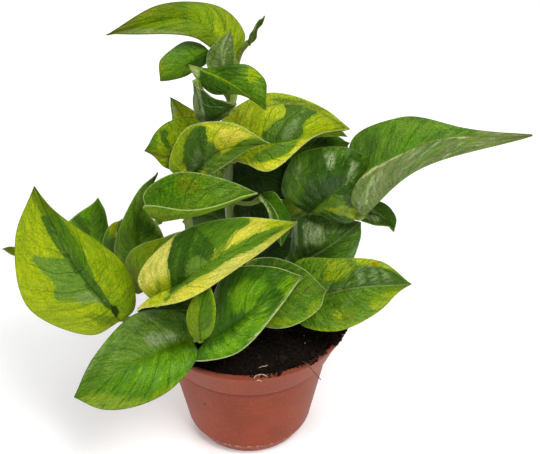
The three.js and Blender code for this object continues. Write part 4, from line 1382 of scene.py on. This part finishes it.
edge_radius = POT["rim_radius"] - POT["wall"] - SOIL["rim_gap"]
radii = np.linspace(0.3, edge_radius, SOIL["rings"])[::-1]
radius_grid, angle_grid = np.meshgrid(radii, once_round(SOIL["around"]), indexing="ij")
grit = draw.normal(0, SOIL["grit"] / 2, radius_grid.shape)
top = soil_height(radius_grid, angle_grid) + grit
top[0] = POT["height"] - SOIL["edge_drop"] - 1
side_radii = [POT[key] - SOIL["wall_gap"] for key in (
    "base_radius", "wall_foot_radius", "wall_top_radius", "collar_foot_radius")]
side = np.column_stack([side_radii, SOIL["side_heights"]])
soil_rings = np.vstack([turn(side, SOIL["around"]), at_turn(radius_grid, angle_grid, top)])
soil_look = soil_finish("soil", (9, 6, 4), (30, 20, 13), (70, 46, 28))
soil = add_rings("soil_heap", soil_rings, "soil", "soil", soil_look, crease=180)
print(f"soil {len(soil.data.polygons)} faces")

# %% Crumbs
CRUMBS = {
    "count": 3200, "size": 0.66, "spread": 0.5, "push": 0.3, "stretch": (0.55, 1.2), "proud": 0.3,
    "radii": (3, edge_radius - 0.5), "spilled_spread": 0.3, "spilled_proud": 0.2,
}
SPILLS = {
    "right heap": {"turns": (-34, -6), "radii": (56, 61.2), "lift": 1.2, "count": 240, "size": 0.75},
    "front rim": {"turns": (-88, -68), "radii": (57.5, 60.4), "lift": 0.3, "count": 70, "size": 0.5},
    "right rim": {"turns": (-62, -40), "radii": (57, 60.6), "lift": 0.4, "count": 80, "size": 0.55},
    "whole rim": {"turns": (-180, 180), "radii": (56.5, 59.4), "lift": 0.1, "count": 500, "size": 0.45},
    "collar": {"turns": (-54, -49), "radii": (60.6, 61.0), "lift": -1.2, "count": 12, "size": 0.6},
    "collar front": {"turns": (-80, -71), "radii": (60.5, 60.9), "lift": -1.0, "count": 14, "size": 0.45},
}


def crumb_ball():
    """The twelve points and twenty faces of a rough ball, which every crumb starts from."""
    made = bmesh.new()
    bmesh.ops.create_icosphere(made, subdivisions=1, radius=1)
    points = np.array([corner.co for corner in made.verts])
    faces = np.array([[corner.index for corner in face.verts] for face in made.faces])
    made.free()
    return points, faces


def turns_of(count):
    """Random turns as 3 by 3 arrays, each from four random numbers cut to length 1."""
    w, x, y, z = unit(draw.normal(size=(count, 4))).T
    rows = [
        [1 - 2 * (y * y + z * z), 2 * (x * y - w * z), 2 * (x * z + w * y)],
        [2 * (x * y + w * z), 1 - 2 * (x * x + z * z), 2 * (y * z - w * x)],
        [2 * (x * z - w * y), 2 * (y * z + w * x), 1 - 2 * (x * x + y * y)],
    ]
    return np.moveaxis(np.array(rows), -1, 0)


def scatter(name, centres, sizes, finish):
    """One mesh of many crumbs. Each point of the ball is pushed in or out, the ball is stretched in
    three directions and turned, and it is moved to its centre."""
    ball, faces = crumb_ball()
    count = len(centres)
    push = 1 + draw.uniform(-CRUMBS["push"], CRUMBS["push"], (count, len(ball), 1))
    stretch = draw.uniform(*CRUMBS["stretch"], (count, 1, 3)) * np.reshape(sizes, (-1, 1, 1))
    shaped = np.einsum("nij,nkj->nki", turns_of(count), ball * push * stretch)
    points = (shaped + centres[:, None]).reshape(-1, 3)
    faces = (faces[None] + len(ball) * np.arange(count)[:, None, None]).reshape(-1, 3)
    return add_piece(name, points, faces.tolist(), None, "soil", finish, crease=20)


def strewn(count, radii, turns=(-180, 180)):
    """Radius and angle of places spread evenly over a ring or a part of one."""
    radius = np.sqrt(draw.uniform(radii[0] ** 2, radii[1] ** 2, count))
    return radius, np.radians(draw.uniform(*turns, count))


print(f"{len(crumb_ball()[1])} faces to a crumb")

# %% Strew the crumbs
radius, angle = strewn(CRUMBS["count"], CRUMBS["radii"])
sizes = CRUMBS["size"] * draw.lognormal(0, CRUMBS["spread"], CRUMBS["count"])
places_of_crumbs = [at_turn(radius, angle, soil_height(radius, angle) + CRUMBS["proud"] * sizes)]
sizes_of_crumbs = [sizes]
for spill in SPILLS.values():
    radius, angle = strewn(spill["count"], spill["radii"], spill["turns"])
    sizes = spill["size"] * draw.lognormal(0, CRUMBS["spilled_spread"], spill["count"])
    height = POT["height"] + CRUMBS["spilled_proud"] * sizes
    height = height + spill["lift"] * draw.uniform(0, 1, spill["count"])
    places_of_crumbs.append(at_turn(radius, angle, height))
    sizes_of_crumbs.append(sizes)
crumbs = scatter(
    "soil_crumbs", np.vstack(places_of_crumbs), np.concatenate(sizes_of_crumbs),
    soil_finish("crumbs", (13, 9, 6), (50, 34, 23), (104, 74, 50)))
print(f"{len(np.concatenate(sizes_of_crumbs))} crumbs, {len(crumbs.data.polygons)} faces")

# %% Perlite, roots and a twig
PERLITE = {"count": 16, "size": 0.45, "spread": 0.35, "radii": (8, edge_radius - 2), "proud": 0.5}
SEEN_SPECK = {"place": (305, 343), "radii": (46, 46.1), "turns": (-44, -44)}
RODS = {
    "root_curl": (0.34, ((254, 378, 86.6), (256, 375.8, 87.7), (260, 374.6, 88), (264, 374.8, 87.9),
                         (267, 376.4, 87.5))),
    "root_thread": (0.2, ((258, 368.5, 87.4), (262, 366.5, 88), (266, 366, 88.1), (269, 363.5, 87.8))),
    "root_end": (0.26, ((256.5, 381, 85.6), (259, 380, 86), (262, 382, 84.9))),
    "twig": (0.42, ((303, 361.5, 87), (307.5, 365, 88.3), (314, 372, 82.6), (321, 380, 77))),
}


def landed(place, height):
    """The point at a height where the eye's ray through a place lands."""
    ray = eye_ray(place)
    return EYE + ray * (height - EYE[2]) / ray[2]


def fibre_finish(name, light, dark, scale):
    """A dull fibre or grain whose colour goes in blotches from light to dark."""
    f = Finish(name)
    blotch = f.noise(f.place(), scale, 3.0)
    f.set(base_color=f.coats(light, (blotch.rise(0.35, 0.7), dark)), roughness=0.75)
    f.set(normal=f.bump(blotch, 0.0003))
    return f.material


def lay_rod(name, radius, line, finish, steps=28, around=10):
    """A thin rod along a smooth curve through sighted places at given heights, thinner to its ends."""
    share = np.linspace(0, 1, steps)
    thick = radius * (0.55 + 0.45 * np.sin(np.pi * share))
    points = [landed(place, place[2]) for place in line]
    return add_rings(name, tube(spline(points, share), thick, around), None, "soil", finish)


perlite_look = fibre_finish("perlite", (236, 234, 226), (196, 190, 178), 900.0)
radius, angle = strewn(PERLITE["count"], PERLITE["radii"])
sizes = PERLITE["size"] * draw.lognormal(0, PERLITE["spread"], PERLITE["count"])
specks = at_turn(radius, angle, soil_height(radius, angle) + PERLITE["proud"])
under_speck = soil_height(*strewn(1, SEEN_SPECK["radii"], SEEN_SPECK["turns"]))[0]
specks[0] = landed(SEEN_SPECK["place"], under_speck + PERLITE["proud"])
scatter("perlite", specks, sizes, perlite_look)
root_look = fibre_finish("root", (206, 176, 150), (150, 112, 84), 700.0)
twig_look = fibre_finish("twig", (120, 78, 50), (64, 40, 28), 500.0)
for name, (radius, line) in RODS.items():
    lay_rod(name, radius, line, twig_look if name == "twig" else root_look)
print(f"{PERLITE['count']} perlite specks, {len(RODS) - 1} roots, a twig")

# %% The floor
floor_finish = Finish("floor")
floor_finish.set(base_color=(0.95, 0.95, 0.95, 1), roughness=0.9)
floor_finish.set(emission_color=(1, 1, 1, 1), emission_strength=0.12)
FLOOR_REACH = 4000
corners = np.array([[-1, -1, 0], [1, -1, 0], [1, 1, 0], [-1, 1, 0]]) * FLOOR_REACH
floor = put("floor", new_mesh("floor", corners, [[0, 1, 2, 3]]))
floor.data.materials.append(floor_finish.material)
print(f"floor {floor.dimensions[0]:.0f} m across")
